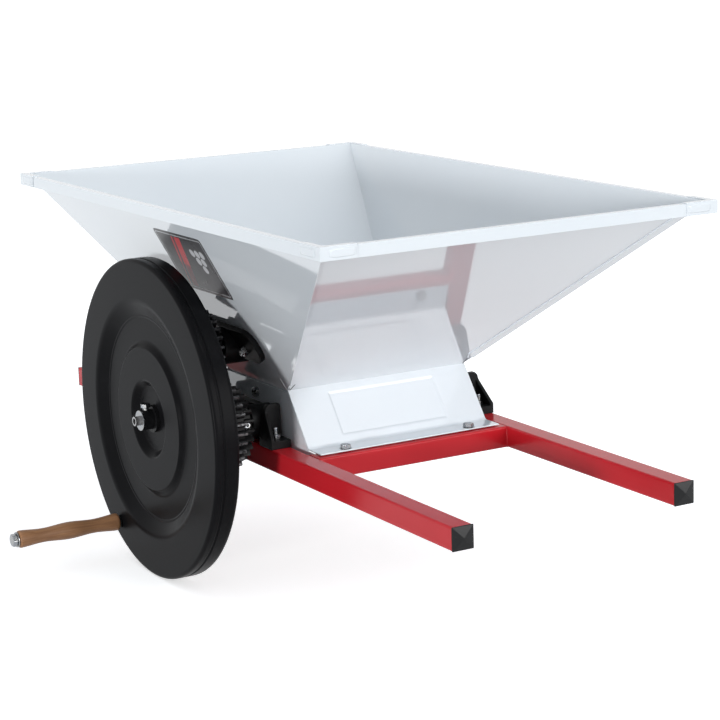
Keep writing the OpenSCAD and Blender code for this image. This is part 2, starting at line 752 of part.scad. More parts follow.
// Rollers and their shafts
module pin_places(y) {
    for (i = [-1, 1]) translate([i * (roller_length / 2 - pin_inset), y, shaft_z]) children();
}
pin_sink = 1;
pin_length = 2 * (roller_r + flute_out - flute_r - pin_sink);
module roller(y) {
    color(alloy) difference() {
        rod_x(-roller_length / 2, roller_length / 2, y, shaft_z, roller_r);
        rod_x(-roller_length, roller_length, y, shaft_z, shaft_r + seat_gap);
        for (i = [0:flute_count - 1]) {
            a = 360 * i / flute_count;
            rod_x(
                -roller_length, roller_length, y + (roller_r + flute_out) * cos(a),
                shaft_z + (roller_r + flute_out) * sin(a), flute_r
            );
        }
        pin_places(y) cylinder(h = 2 * roller_r, r = pin_d / 2 + seat_gap, center = true);
    }
}
module roller_pins(y) {
    color(steel) pin_places(y) cylinder(h = pin_length, r = pin_d / 2, center = true);
}
module collar(x, y, z) {
    color(steel) translate([x, y, z]) rotate([0, 90, 0])
        ring(collar_width, shaft_r + collar_wall, shaft_r + seat_gap);
}
collar_x = far_boss_end + end_play;
agitator_collar_x = agitator_boss_end + end_play;
module drive_shaft() {
    color(steel) difference() {
        union() {
            rod_x(-hub_end, collar_x + collar_width + collar_over, roller_y, shaft_z, shaft_r);
            rod_x(-tip_x, -hub_end + cut, roller_y, shaft_z, shaft_tip_d / 2);
        }
        rod_x(-tip_x - cut, -tip_x + shaft_tip, roller_y, shaft_z, tip_hole_d / 2);
        pin_places(roller_y) cylinder(h = 2 * shaft_d, r = pin_d / 2 + seat_gap, center = true);
    }
}
module driven_shaft() {
    color(steel) difference() {
        rod_x(-gear_out - shaft_over, collar_x + collar_width + collar_over, -roller_y, shaft_z, shaft_r);
        pin_places(-roller_y) cylinder(h = 2 * shaft_d, r = pin_d / 2 + seat_gap, center = true);
    }
}

// Involute gears
function involute_angle(cosine) = let (a = acos(cosine)) tan(a) * 180 / PI - a;
// Half angle of a tooth at a radius
function tooth_half(teeth, r) =
    let (pitch_r = gear_module * teeth / 2, base_r = pitch_r * cos(pressure_angle))
    90 / teeth - backlash / 4 / pitch_r * 180 / PI
    + involute_angle(cos(pressure_angle)) - involute_angle(min(1, base_r / r));
function tooth_radii(teeth) =
    let (
        pitch_r = gear_module * teeth / 2,
        root_r = pitch_r - 1.25 * gear_module,
        start_r = max(pitch_r * cos(pressure_angle), root_r),
        tip_r = pitch_r + gear_module
    )
    concat([root_r], [for (i = [0:flank_steps]) start_r + (tip_r - start_r) * i / flank_steps]);
function tooth(teeth) =
    let (radii = tooth_radii(teeth), last = len(radii) - 1)
    concat(
        [for (i = [0:last]) [radii[i], -tooth_half(teeth, radii[i])]],
        [for (i = [last:-1:0]) [radii[i], tooth_half(teeth, radii[i])]]
    );
function gear_outline(teeth, phase) = [
    for (i = [0:teeth - 1]) for (p = tooth(teeth))
        let (a = phase + 360 * i / teeth + p[1]) p[0] * [cos(a), sin(a)]
];
hub_r = shaft_r + hub_wall;
// The toothed part of a gear at its place
module toothed(teeth, phase, x, face, y, z) {
    translate([-x - face, y, z]) along_x(face) polygon(gear_outline(teeth, phase));
}
// The recess in a gear's face, between its hub and its toothed ring
module face_recess(teeth, x, y, z) {
    root_r = gear_module * (teeth / 2 - 1.25);
    translate([-x, y, z]) rotate([0, 90, 0]) ring(gear_recess + cut, root_r - gear_ring, hub_r);
}
// Moves to a set screw's foot on the shaft, with Z along the screw
module screw_place(x, y, z, angle) {
    translate([-x, y, z]) rotate([angle - 90, 0, 0]) translate([0, 0, shaft_r + seat_gap]) children();
}
// The bore of a gear and the hole of its set screw, which goes through a gap between two teeth
module gear_bore(x, y, z, angle, reach) {
    rod_x(-gear_out - cut, 0, y, z, shaft_r + seat_gap);
    screw_place(x, y, z, angle) cylinder(h = reach, r = screw_d / 2 + seat_gap);
}
module grub_screw(length) {
    color(zinc) difference() {
        cylinder(h = length, r = screw_d / 2);
        translate([0, 0, length - socket_depth])
            cylinder(h = socket_depth + cut, r = 0.3 * screw_d, $fn = 6);
    }
}
pair_screw_x = pair_in + pair_face / 3;
pair_screw = gear_module * (pair_teeth / 2 - 1.25) - shaft_r - seat_gap;
agitator_hub = agitator_boss_end + end_play;
agitator_screw_x = (agitator_hub + gear_in) / 2;
drive_gap = pair_phase - (round(pair_teeth / 4) + 0.5) * 360 / pair_teeth;
driven_gap = 180 - 180 / pair_teeth;
up = 90;
module drive_gear() {
    color(cast_black) difference() {
        union() {
            toothed(pair_teeth, pair_phase, pair_in, pair_face, roller_y, shaft_z);
            rod_x(-pair_in - cut, -roller_hub, roller_y, shaft_z, hub_r);
        }
        gear_bore(pair_screw_x, roller_y, shaft_z, drive_gap, roller_y);
    }
}
module drive_gear_screw() {
    screw_place(pair_screw_x, roller_y, shaft_z, drive_gap) grub_screw(pair_screw);
}
// Stepped gear: the smaller part meshes with the drive gear, the larger one with the agitator's
module driven_gear() {
    color(cast_black) difference() {
        union() {
            toothed(pair_teeth, 0, pair_in, pair_face + cut, -roller_y, shaft_z);
            toothed(roller_teeth, 0, gear_in, gear_face, -roller_y, shaft_z);
            rod_x(-pair_in - cut, -roller_hub, -roller_y, shaft_z, hub_r);
        }
        face_recess(roller_teeth, gear_out + cut, -roller_y, shaft_z);
        gear_bore(pair_screw_x, -roller_y, shaft_z, driven_gap, roller_y);
    }
}
module driven_gear_screw() {
    screw_place(pair_screw_x, -roller_y, shaft_z, driven_gap) grub_screw(pair_screw);
}
module agitator_gear() {
    color(cast_black) difference() {
        union() {
            toothed(agitator_teeth, agitator_phase, gear_in, gear_face, 0, agitator_z);
            rod_x(-gear_in - cut, -agitator_hub, 0, agitator_z, hub_r);
        }
        face_recess(agitator_teeth, gear_out + cut, 0, agitator_z);
        face_recess(agitator_teeth, gear_in + gear_recess, 0, agitator_z);
        gear_bore(agitator_screw_x, 0, agitator_z, up, hub_wall + cut);
    }
}
module agitator_gear_screw() {
    screw_place(agitator_screw_x, 0, agitator_z, up) grub_screw(hub_wall - seat_gap);
}

// Agitator
module rod_places() {
    for (i = [0:rod_count - 1])
        translate([rod_row * (i / (rod_count - 1) - 0.5), 0, agitator_z])
            rotate([rod_turn * i, 0, 0]) children();
}
module agitator_shaft() {
    color(steel) difference() {
        rod_x(
            -gear_out - shaft_over, agitator_collar_x + collar_width + collar_over,
            0, agitator_z, shaft_r
        );
        rod_places() cylinder(h = 2 * shaft_d, r = rod_d / 2 + seat_gap, center = true);
    }
}
module agitator_rods() {
    color(steel) rod_places() cylinder(h = 2 * rod_reach, r = rod_d / 2, center = true);
}

// Flywheel
function arc(x, y, r, from, to) = [
    for (i = [0:round_steps]) let (a = from + (to - from) * i / round_steps) [x + r * cos(a), y + r * sin(a)]
];
wheel_bore = shaft_r + seat_gap;
module crank_hole() {
    rod_x(-wheel_face - cut, 0, crank_y, crank_z, crank_r + seat_gap);
}
module flywheel_face() {
    groove_x = wheel_face - bead_width;
    front = [
        [wheel_bore, dish_x], [dish_floor_r, dish_x], [dish_r, disc_x], [disc_r, disc_x],
        [disc_foot_r, trough_x], [trough_r, trough_x], [face_r, wheel_face]
    ];
    rim = concat(
        arc(wheel_r - wheel_round, wheel_face - wheel_round, wheel_round, 90, 0),
        [
            [wheel_r, groove_x], [wheel_r - groove_depth, groove_x - groove_depth / 2],
            [wheel_r - groove_depth, groove_x - groove_width],
            [wheel_r, groove_x - groove_width - groove_depth / 2]
        ],
        arc(wheel_r - wheel_round, wheel_back + wheel_round, wheel_round, 0, -90)
    );
    pocket = [
        [back_r, wheel_back], [back_r, wheel_back + back_t], [ring_out_r, wheel_back + back_t],
        [ring_out_r, ring_x], [ring_in_r, ring_x], [ring_in_r, wheel_back + back_t],
        [wheel_bore, wheel_back + back_t]
    ];
    color(wheel_black) difference() {
        turned(roller_y, shaft_z) polygon(concat(front, rim, pocket));
        crank_hole();
    }
}
module flywheel_back() {
    color(wheel_black) difference() {
        translate([-wheel_back - back_t, roller_y, shaft_z]) rotate([0, 90, 0])
            ring(back_t, back_r - seat_gap, wheel_bore, $fn = 128);
        crank_hole();
    }
}
module flywheel_ring() {
    color(steel) translate([-ring_x, roller_y, shaft_z]) rotate([0, 90, 0])
        ring(ring_x - wheel_back - back_t, ring_out_r - seat_gap, ring_in_r + seat_gap, $fn = 128);
}
module wheel_spacer_tube() {
    color(steel) translate([-wheel_back, roller_y, shaft_z]) rotate([0, 90, 0])
        ring(wheel_spacer, shaft_r + hub_wall / 2, shaft_r + seat_gap);
}
hub_neck_r = shaft_r + hub_wall / 2;
module hub_screw_place() {
    translate([-dish_x - hub_flange - hub_neck / 2, roller_y, shaft_z + shaft_r + seat_gap]) children();
}
module flywheel_hub() {
    color(cast_black) difference() {
        union() {
            rod_x(-dish_x - hub_flange, -dish_x, roller_y, shaft_z, hub_flange_r);
            rod_x(-hub_end, -dish_x, roller_y, shaft_z, hub_neck_r);
        }
        rod_x(-hub_end - cut, 0, roller_y, shaft_z, shaft_r + seat_gap);
        hub_screw_place() cylinder(h = hub_flange_r, r = hub_screw_d / 2 + seat_gap);
    }
}
module flywheel_hub_screw() {
    color(zinc) hub_screw_place() {
        cylinder(h = hub_wall / 2 + screw_over + cut, r = hub_screw_d / 2);
        translate([0, 0, hub_wall / 2 + screw_over]) hex(hub_screw_d, hex_h(hub_screw_d));
    }
}
module drive_end_washer() {
    color(zinc) translate([-hub_end - end_washer, roller_y, shaft_z]) rotate([0, 90, 0])
        ring(end_washer, hub_neck_r, shaft_tip_d / 2 + seat_gap);
}

// Crank
crank_nut_h = 0.8 * crank_d;
module crank_pin() {
    color(zinc) {
        rod_x(-crank_tip - cut, -wheel_back + crank_nut_h + crank_thread, crank_y, crank_z, crank_r);
        translate([-crank_tip, crank_y, crank_z]) rotate([0, -90, 0]) hex(crank_d, hex_h(crank_d));
    }
}
module crank_root_collar() {
    color(cast_black) translate([-wheel_face - root_collar, crank_y, crank_z]) rotate([0, 90, 0])
        ring(root_collar, root_collar_d / 2, crank_r + seat_gap);
}
module crank_tip_washer() {
    color(zinc) translate([-crank_tip, crank_y, crank_z]) rotate([0, 90, 0])
        ring(tip_washer_t, washer_r(crank_d), crank_r + seat_gap);
}
module crank_nut() {
    color(zinc) translate([-wheel_back, crank_y, crank_z]) rotate([0, 90, 0]) difference() {
        hex(crank_d, crank_nut_h);
        translate([0, 0, -cut]) cylinder(h = crank_nut_h + 2 * cut, r = crank_r + seat_gap);
    }
}
// Radius of the grip along its length, from 0 at the root to 1 at the tip: thick at both ends,
// narrow at the two necks and swelling between them
grip_steps = 28;
function grip_wave(t) = (1 + cos(360 * 2 * t)) / 2;
function grip_r(t) = (
    grip_neck_d + grip_wave(t) * ((abs(t - 0.5) < 0.25 ? grip_belly_d : grip_end_d) - grip_neck_d)
) / 2;
module crank_grip() {
    ease = 2;
    color(beech) turned(crank_y, crank_z) polygon(concat(
        [[crank_r + running_gap, grip_x], [grip_r(0) - ease, grip_x]],
        [for (i = [1:grip_steps - 1]) [grip_r(i / grip_steps), grip_x + grip_length * i / grip_steps]],
        [[grip_r(1) - ease, grip_tip], [crank_r + running_gap, grip_tip]]
    ));
}

rail(-1);  // rail_left
rail(1);  // rail_right
crossbar(-1);  // crossbar_front
crossbar(1);  // crossbar_rear
rail_end_caps();
hopper_side(-1);  // hopper_wall_left
hopper_side(1);  // hopper_wall_right
hopper_end(-1);  // hopper_wall_front
hopper_end(1);  // hopper_wall_rear
rim_corners();
skirt_end(-1);  // skirt_front
skirt_end(1);  // skirt_rear
skirt_plate(-1);  // skirt_plate_left
skirt_plate(1);  // skirt_plate_right
skirt_bolts();
skirt_washers();
lap_bolts();
lap_nuts();
bracket(-1);  // bracket_left
bracket(1);  // bracket_right
bracket_studs();
bracket_nuts();
roller_bushes();
agitator_bearing(-1);  // agitator_bearing_left
agitator_bearing(1);  // agitator_bearing_right
agitator_bushes();
agitator_bearing_bolts();
agitator_bearing_nuts();
drive_shaft();
roller(roller_y);  // drive_roller
roller_pins(roller_y);  // drive_roller_pins
collar(collar_x, roller_y, shaft_z);  // drive_collar
drive_gear();
drive_gear_screw();
wheel_spacer_tube();
flywheel_face();
flywheel_back();
flywheel_ring();
flywheel_hub();
flywheel_hub_screw();
drive_end_washer();
crank_pin();
crank_root_collar();
crank_tip_washer();
crank_nut();
crank_grip();
driven_shaft();
roller(-roller_y);  // driven_roller
roller_pins(-roller_y);  // driven_roller_pins
collar(collar_x, -roller_y, shaft_z);  // driven_collar
driven_gear();
driven_gear_screw();
agitator_shaft();
agitator_rods();
collar(agitator_collar_x, 0, agitator_z);  // agitator_collar
agitator_gear();
agitator_gear_screw();
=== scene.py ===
# %% [markdown]
# # A hand cranked grape crusher
# The solids come from the part's own source and are already the right size, so this lesson adds
# what a maker sees last: paint, castings, plating, turned wood, pressed sheet and threads.
# Everything is in metres and in the frame of the solids: X across the rails, Y along them, Z up.

import json

import bmesh
import bpy
import numpy as np
from mathutils import Matrix, Vector


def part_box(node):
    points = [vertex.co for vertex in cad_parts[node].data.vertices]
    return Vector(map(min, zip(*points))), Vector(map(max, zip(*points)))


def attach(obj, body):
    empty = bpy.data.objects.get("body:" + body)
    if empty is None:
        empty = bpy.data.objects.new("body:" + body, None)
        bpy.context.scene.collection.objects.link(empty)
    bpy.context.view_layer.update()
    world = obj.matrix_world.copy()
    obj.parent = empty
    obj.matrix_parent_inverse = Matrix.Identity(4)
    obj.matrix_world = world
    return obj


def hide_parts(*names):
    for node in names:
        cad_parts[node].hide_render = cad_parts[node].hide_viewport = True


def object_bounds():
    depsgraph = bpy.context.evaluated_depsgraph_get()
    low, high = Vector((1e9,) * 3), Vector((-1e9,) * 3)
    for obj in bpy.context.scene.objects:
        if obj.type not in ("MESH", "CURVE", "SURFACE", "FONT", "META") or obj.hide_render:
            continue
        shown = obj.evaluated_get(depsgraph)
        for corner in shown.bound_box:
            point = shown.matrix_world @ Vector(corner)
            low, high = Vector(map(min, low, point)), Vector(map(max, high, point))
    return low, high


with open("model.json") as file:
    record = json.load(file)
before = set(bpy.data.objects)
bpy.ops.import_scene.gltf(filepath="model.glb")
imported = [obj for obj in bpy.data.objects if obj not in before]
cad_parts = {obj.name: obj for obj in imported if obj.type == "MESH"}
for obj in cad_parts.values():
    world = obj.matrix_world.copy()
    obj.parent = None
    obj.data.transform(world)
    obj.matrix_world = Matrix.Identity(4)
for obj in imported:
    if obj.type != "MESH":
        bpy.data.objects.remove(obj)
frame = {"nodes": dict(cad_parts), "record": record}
cad_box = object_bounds()
MM = 0.001

# %% [markdown]
# ## Shader sums
# A finish on the real crusher changes from place to place: paint lies in a fine peel, plating
# clouds, wood has grain. Such a change could be painted, but then it would need an image. Here it
# is worked out from the place on the piece, and a small class lets the shader's sums be written
# as plain Python.


# %% A socket that can be added and multiplied
class Wire:
    """A shader socket. Each operator adds one Math node; node() adds any other node."""

    def __init__(self, tree, socket):
        self.tree, self.socket = tree, socket

    def node(self, kind, settings, links, out=0):
        """Adds a node: first its settings, then the values or wires of its sockets."""
        made = self.tree.nodes.new("ShaderNode" + kind)
        for name, value in settings.items():
            setattr(made, name, value)
        for name, value in links.items():
            if isinstance(value, Wire):
                self.tree.links.new(value.socket, made.inputs[name])
            else:
                made.inputs[name].default_value = value
        return Wire(self.tree, made.outputs[out])

    def sum(self, operation, a, b=0.0):
        """One Math node that works out a and b by that operation."""
        return self.node("Math", {"operation": operation}, {0: a, 1: b})

    def __add__(self, other):
        return self.sum("ADD", self, other)

    def __sub__(self, other):
        return self.sum("SUBTRACT", self, other)

    def __rsub__(self, other):
        return self.sum("SUBTRACT", other, self)

    def __mul__(self, other):
        return self.sum("MULTIPLY", self, other)

    def __truediv__(self, other):
        return self.sum("DIVIDE", self, other)

    __radd__, __rmul__ = __add__, __mul__

    def step(self, low, high):
        """0 below low, 1 above high, smooth between them."""
        return self.node(
            "MapRange",
            {"interpolation_type": "SMOOTHSTEP"},
            {"Value": self, "From Min": low, "From Max": high},
        )

    def band(self, low, high, soft):
        """1 between low and high and 0 outside, with both edges soft over that width."""
        return self.step(low, low + soft) - self.step(high, high + soft)

    def blend(self, a, b):
        """Colour a where this wire is 0, colour b where it is 1."""
        a, b = (c if isinstance(c, Wire) else (*c, 1) for c in (a, b))
        return self.node("Mix", {"data_type": "RGBA"}, {"Factor": self, 6: a, 7: b}, out=2)

    def noise(self, size, detail=2.0, rough=0.5, stretch=(1, 1, 1)):
        """Cloudy values about 0.5, with lumps of that size in metres, longer along a stretched
        axis."""
        lump = tuple(size * s for s in stretch)
        scaled = self.node("VectorMath", {"operation": "DIVIDE"}, {0: self, 1: lump})
        links = {"Vector": scaled, "Scale": 1.0, "Detail": detail, "Roughness": rough}
        return self.node("TexNoise", {}, links)

    def bump(self, height, depth, under=None):
        """A normal that stands out by depth metres where height is 1."""
        links = {"Height": height, "Distance": depth, "Strength": 1.0}
        if under is not None:
            links["Normal"] = under
        return self.node("Bump", {}, links)

    def part(self, axis):
        """One of X, Y and Z of a vector."""
        return self.node("SeparateXYZ", {}, {"Vector": self}, out="XYZ".index(axis))

    def radius(self, y, z):
        """Distance from an axis along X through (y, z)."""
        flat = self.node("VectorMath", {"operation": "MULTIPLY"}, {0: self, 1: (0, 1, 1)})
        return self.node("VectorMath", {"operation": "DISTANCE"}, {0: flat, 1: (0, y, z)}, out=1)


# %% A material from a recipe
def finish(name, recipe, **steady):
    """A material: steady values stay as given, and recipe(place) gives those that vary."""
    material = bpy.data.materials.new(name)
    material.use_nodes = True
    tree = material.node_tree
    shader = tree.nodes["Principled BSDF"]
    for socket, value in steady.items():
        shader.inputs[socket.replace("_", " ")].default_value = value
    place = Wire(tree, tree.nodes.new("ShaderNodeTexCoord").outputs["Object"])
    for socket, value in recipe(place).items():
        tree.links.new(value.socket, shader.inputs[socket])
    print("finish:", name, len(tree.nodes), "nodes")
    return material


# %% [markdown]
# ## Gloss enamel on sheet and tube
# The hopper is sheet steel under pale gloss enamel and the frame is tube under red enamel.
# Sprayed enamel is never a mirror: it lies in a fine peel of a millimetre or two, and sheet bends
# a little between its folds. Modelled, the peel would take millions of faces, so two bumps of
# different size give it, and a soft change of tone and gloss keeps the large walls from looking
# flat.

# %% Enamel
HOPPER_TONE, HOPPER_SHADE = (0.752, 0.795, 0.830), (0.728, 0.775, 0.815)
FRAME_TONE, FRAME_SHADE = (0.57, 0.017, 0.026), (0.50, 0.014, 0.021)
CLOUD_SIZE, DUST_SIZE, WAVE_SIZE = 0.22, 0.012, 0.13


def enamel(tone, shade, peel, peel_depth, gloss, dull, wave_depth):
    """Tone to shade by a large cloud, roughness = gloss + dull * (cloud + dust), and a normal of
    long waves with the finer peel on them."""
    def recipe(place):
        cloud = place.noise(CLOUD_SIZE, 3)
        dust = place.noise(DUST_SIZE, 4, 0.65).step(0.52, 0.78)
        wave = place.bump(place.noise(WAVE_SIZE, 1), wave_depth)
        skin = place.bump(place.noise(peel, 2), peel_depth, wave)
        return {
            "Base Color": cloud.step(0.3, 0.7).blend(tone, shade),
            "Roughness": dust * dull + cloud * dull + gloss,
            "Normal": skin,
        }

    return recipe


hopper_enamel = finish(
    "hopper_enamel",
    enamel(
        HOPPER_TONE,
        HOPPER_SHADE,
        peel=1.6 * MM,
        peel_depth=0.004 * MM,
        gloss=0.04,
        dull=0.02,
        wave_depth=0.10 * MM,
    ),
    Specular_IOR_Level=0.5,
    Coat_Weight=0.45,
    Coat_Roughness=0.04,
)
frame_enamel = finish(
    "frame_enamel",
    enamel(
        FRAME_TONE,
        FRAME_SHADE,
        peel=1.1 * MM,
        peel_depth=0.075 * MM,
        gloss=0.14,
        dull=0.07,
        wave_depth=0.1 * MM,
    ),
    Specular_IOR_Level=0.16,
    Coat_Weight=0.03,
    Coat_Roughness=0.10,
)

# %% [markdown]
# ## Moulded plastic
# The flywheel's shell is a large satin moulding, and the tube ends have small black plugs. Moulds
# for such pieces are blasted, so the skin has a fine stipple, and handling leaves paler scuffs.
# The stipple is far too fine to model, so it is a bump, and the scuffs change colour and gloss
# together, as a rub does.

# %% Plastic
WHEEL_TONE, WHEEL_SCUFF = (0.006, 0.006, 0.0068), (0.011, 0.011, 0.0122)
CAP_TONE, CAP_SCUFF = (0.009, 0.009, 0.0095), (0.017, 0.017, 0.018)
RUB_SIZE, RUB_SHARE = 0.05, 0.7
STREAK_SIZE, STREAK_STRETCH, STREAK_SHARE = 0.006, (6, 1, 1), 0.3
SCUFF_DULL = 0.12


def moulded(tone, scuff, gloss, stipple, stipple_depth):
    """Tone to scuff where worn, with worn a sum of rubbed patches and streaks, roughness = gloss +
    dull * worn, and a stippled normal."""
    def recipe(place):
        rubbed = place.noise(RUB_SIZE, 5, 0.7).step(0.45, 0.85)
        streak = place.noise(STREAK_SIZE, 3, 0.6, STREAK_STRETCH).step(0.6, 0.8)
        worn = rubbed * RUB_SHARE + streak * STREAK_SHARE
        return {
            "Base Color": worn.blend(tone, scuff),
            "Roughness": worn * SCUFF_DULL + gloss,
            "Normal": place.bump(place.noise(stipple, 2), stipple_depth),
        }

    return recipe


wheel_plastic = finish(
    "wheel_plastic",
    moulded(WHEEL_TONE, WHEEL_SCUFF, gloss=0.30, stipple=0.7 * MM, stipple_depth=0.03 * MM),
    Specular_IOR_Level=0.035,
)
cap_plastic = finish(
    "cap_plastic",
    moulded(CAP_TONE, CAP_SCUFF, gloss=0.26, stipple=0.8 * MM, stipple_depth=0.03 * MM),
    Specular_IOR_Level=0.2,
)

# %% [markdown]
# ## Castings, gears and the iron ring
# Brackets, bearings, gears and the hub are iron castings under thin black paint, so the sand's
# grain shows through. On gears the paint goes first at the tips of the teeth. The wear could be
# painted tooth by tooth, but a tip is where the distance from the shaft is largest, so the worn
# mask is a step on that distance and fits every gear.

# %% Cast iron
CAST_TONE, CAST_SHADE = (0.006, 0.006, 0.0065), (0.011, 0.011, 0.0115)
CAST_WORN = (0.13, 0.13, 0.135)
IRON_TONE, IRON_RUST = (0.09, 0.085, 0.08), (0.14, 0.07, 0.035)
GRAIN_SIZE, GRAIN_DEPTH = 1.1 * MM, 0.12 * MM
LUMP_SIZE, LUMP_DEPTH = 6 * MM, 0.25 * MM
TOOTH, WORN_FROM, WORN_FULL = 9 * MM, 0.45, 0.05


def cast(place, worn):
    """Black paint in two tones, and bright iron where worn is 1. Grain and cloud make it rougher,
    wear smoother, and the normal is grain on larger lumps."""
    grain = place.noise(GRAIN_SIZE, 4, 0.7)
    lumps = place.bump(place.noise(LUMP_SIZE, 2), LUMP_DEPTH)
    cloud = place.noise(0.02, 3).step(0.35, 0.75)
    return {
        "Base Color": worn.blend(cloud.blend(CAST_TONE, CAST_SHADE), CAST_WORN),
        "Roughness": grain * 0.2 + cloud * 0.1 - worn * 0.12 + 0.3,
        "Metallic": worn * 0.9,
        "Normal": place.bump(grain, GRAIN_DEPTH, lumps),
    }


def plain_cast(place):
    """A casting with a few small rubbed spots, where a fine noise is near its highest."""
    return cast(place, place.noise(0.008, 4, 0.7).step(0.74, 0.9) * 0.35)


def gear_cast(node):
    """Cast iron that is worn bright over the outer part of the teeth of that gear."""
    low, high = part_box(node)
    y, z, tip = (low.y + high.y) / 2, (low.z + high.z) / 2, (high.z - low.z) / 2

    def recipe(place):
        rim = place.radius(y, z).step(tip - TOOTH * WORN_FROM, tip - TOOTH * WORN_FULL)
        return cast(place, rim * place.noise(3 * MM, 3).step(0.3, 0.6) * 0.75)

    return recipe


def bare_iron(place):
    """Iron to rust by a step on noise, rougher where it rusts."""
    rust = place.noise(0.015, 5, 0.7).step(0.45, 0.75)
    return {"Base Color": rust.blend(IRON_TONE, IRON_RUST), "Roughness": rust * 0.25 + 0.5}


cast_black = finish("cast_black", plain_cast, Specular_IOR_Level=0.12)
ring_iron = finish("ring_iron", bare_iron, Metallic=0.6)
gear_black = {
    node: finish(node + "_cast", gear_cast(node), Specular_IOR_Level=0.12)
    for node in ("drive_gear", "driven_gear", "agitator_gear")
}

# %% [markdown]
# ## Plated, turned and cast metal
# Bolts, nuts and washers are zinc plated, which clouds from bluish to yellowish. Shafts are drawn
# bar with faint marks round them, the bushes are turned bronze and the rollers are cast alloy.
# All are metals in the shader. An image of the marks would have to be wound round each shaft;
# stretched noise needs no unwrapping. It is short along a shaft or bush and long round it, and
# even on plating and castings.

# %% Metals
ZINC_BLUE, ZINC_YELLOW = (0.27, 0.285, 0.31), (0.34, 0.335, 0.32)
BAR_TONE, BAR_STAIN = (0.38, 0.38, 0.39), (0.29, 0.285, 0.28)
BRONZE_TONE, BRONZE_STAIN = (0.58, 0.38, 0.17), (0.40, 0.26, 0.13)
ALLOY_TONE, ALLOY_STAIN = (0.62, 0.63, 0.64), (0.48, 0.48, 0.48)
MARK_SIZE, ROUND_MARKS = 0.5 * MM, (0.6, 12, 12)


def metal(tone, stain, cloud_size, gloss, marks, mark_depth):
    """Tone to stain by a cloud, roughness = gloss + shares of the cloud and of the marks, and a
    normal that follows the marks."""
    def recipe(place):
        cloud = place.noise(cloud_size, 4, 0.6).step(0.35, 0.7)
        fine = place.noise(MARK_SIZE, 3, 0.6, marks)
        return {
            "Base Color": cloud.blend(tone, stain),
            "Roughness": cloud * 0.12 + fine * 0.1 + gloss,
            "Normal": place.bump(fine, mark_depth),
        }

    return recipe


zinc = finish(
    "zinc",
    metal(ZINC_BLUE, ZINC_YELLOW, 5 * MM, gloss=0.14, marks=(2, 2, 2), mark_depth=0.015 * MM),
    Metallic=1.0,
)
shaft_steel = finish(
    "shaft_steel",
    metal(BAR_TONE, BAR_STAIN, 0.03, gloss=0.24, marks=ROUND_MARKS, mark_depth=0.02 * MM),
    Metallic=1.0,
)
bush_bronze = finish(
    "bush_bronze",
    metal(BRONZE_TONE, BRONZE_STAIN, 8 * MM, gloss=0.28, marks=ROUND_MARKS, mark_depth=0.02 * MM),
    Metallic=1.0,
)
roller_alloy = finish(
    "roller_alloy",
    metal(ALLOY_TONE, ALLOY_STAIN, 0.02, gloss=0.34, marks=(3, 3, 3), mark_depth=0.06 * MM),
    Metallic=1.0,
)

# %% [markdown]
# ## Turned wood
# The grip is turned beech with a thin varnish. Its grain runs along the grip, as the blank was
# cut along the trunk. A picture of wood would show a seam where it meets itself round the grip.
# Noise in space has none: one that is far longer along X than across it gives the streaks, and a
# second, finer one the short dark pores.

# %% Wood
WOOD_LIGHT, WOOD_DARK = (0.375, 0.188, 0.090), (0.26, 0.130, 0.065)
WOOD_PORE = (0.15, 0.072, 0.034)


def turned_wood(place):
    """Light to dark by a sum of streaks and rings, with the pores over both. Pores are duller and
    lie lower."""
    streak = place.noise(3.0 * MM, 4, 0.6, stretch=(14, 1, 1))
    ring = place.noise(9 * MM, 2, 0.5, stretch=(10, 1, 1))
    pore = place.noise(0.55 * MM, 2, 0.5, stretch=(9, 1, 1)).step(0.62, 0.76)
    tone = (streak * 0.6 + ring * 0.4).step(0.36, 0.64).blend(WOOD_LIGHT, WOOD_DARK)
    return {
        "Base Color": (pore * 0.4).blend(tone, WOOD_PORE),
        "Roughness": streak * 0.2 + pore * 0.2 + 0.28,
        "Normal": place.bump(streak * 0.5 - pore, 0.03 * MM),
    }


grip_wood = finish("grip_wood", turned_wood, Specular_IOR_Level=0.25)
FINISHES = {
    "hopper_paint": hopper_enamel,
    "frame_paint": frame_enamel,
    "cap_plastic": cap_plastic,
    "cast_black": cast_black,
    "zinc": zinc,
    "shaft_steel": shaft_steel,
    "bush_bronze": bush_bronze,
    "roller_alloy": roller_alloy,
    "wheel_plastic": wheel_plastic,
    "ring_iron": ring_iron,
    "grip_wood": grip_wood,
}

# %% [markdown]
# ## Edges that catch the light
# No real edge is sharp: sheared sheet, cut tube and castings all have a small round that catches
# the light. The solids carry sharp edges and loose triangles, so each one is welded into one
# surface, its flat faces are made whole, its edges get a small bevel where they turn by more than
# a third of a right angle, and it is shaded by its largest faces. The tube plugs are low pyramids
# whose faces turn less, so their bevels start at a smaller angle. All this could be cut into the
# meshes for good, but live modifiers leave the solids as they are.

# %% Dress the solids
EDGE = {
    "cast_black": 1.0 * MM,
    "frame_paint": 1.6 * MM,
    "cap_plastic": 0.7 * MM,
    "hopper_paint": 0.5 * MM,
}
GEAR_EDGE, PLAIN_EDGE, EDGE_STEPS = 0.35 * MM, 0.3 * MM, 2
SHARP, FLAT = np.radians(32), np.radians(0.4)
FACET = {"cap_plastic": np.radians(6)}
SOLID_MERGE = 0.002 * MM


def soften(piece, width, sharp):
    """Rounds a piece's edges and shades it by its largest faces."""
    weld = piece.modifiers.new("weld", "WELD")
    weld.merge_threshold = SOLID_MERGE
    flat = piece.modifiers.new("flats", "DECIMATE")
    flat.decimate_type, flat.angle_limit = "DISSOLVE", FLAT
    bevel = piece.modifiers.new("edges", "BEVEL")
    bevel.width, bevel.segments = width, EDGE_STEPS
    bevel.limit_method, bevel.angle_limit = "ANGLE", sharp
    shade = piece.modifiers.new("shade", "WEIGHTED_NORMAL")
    shade.keep_sharp = False


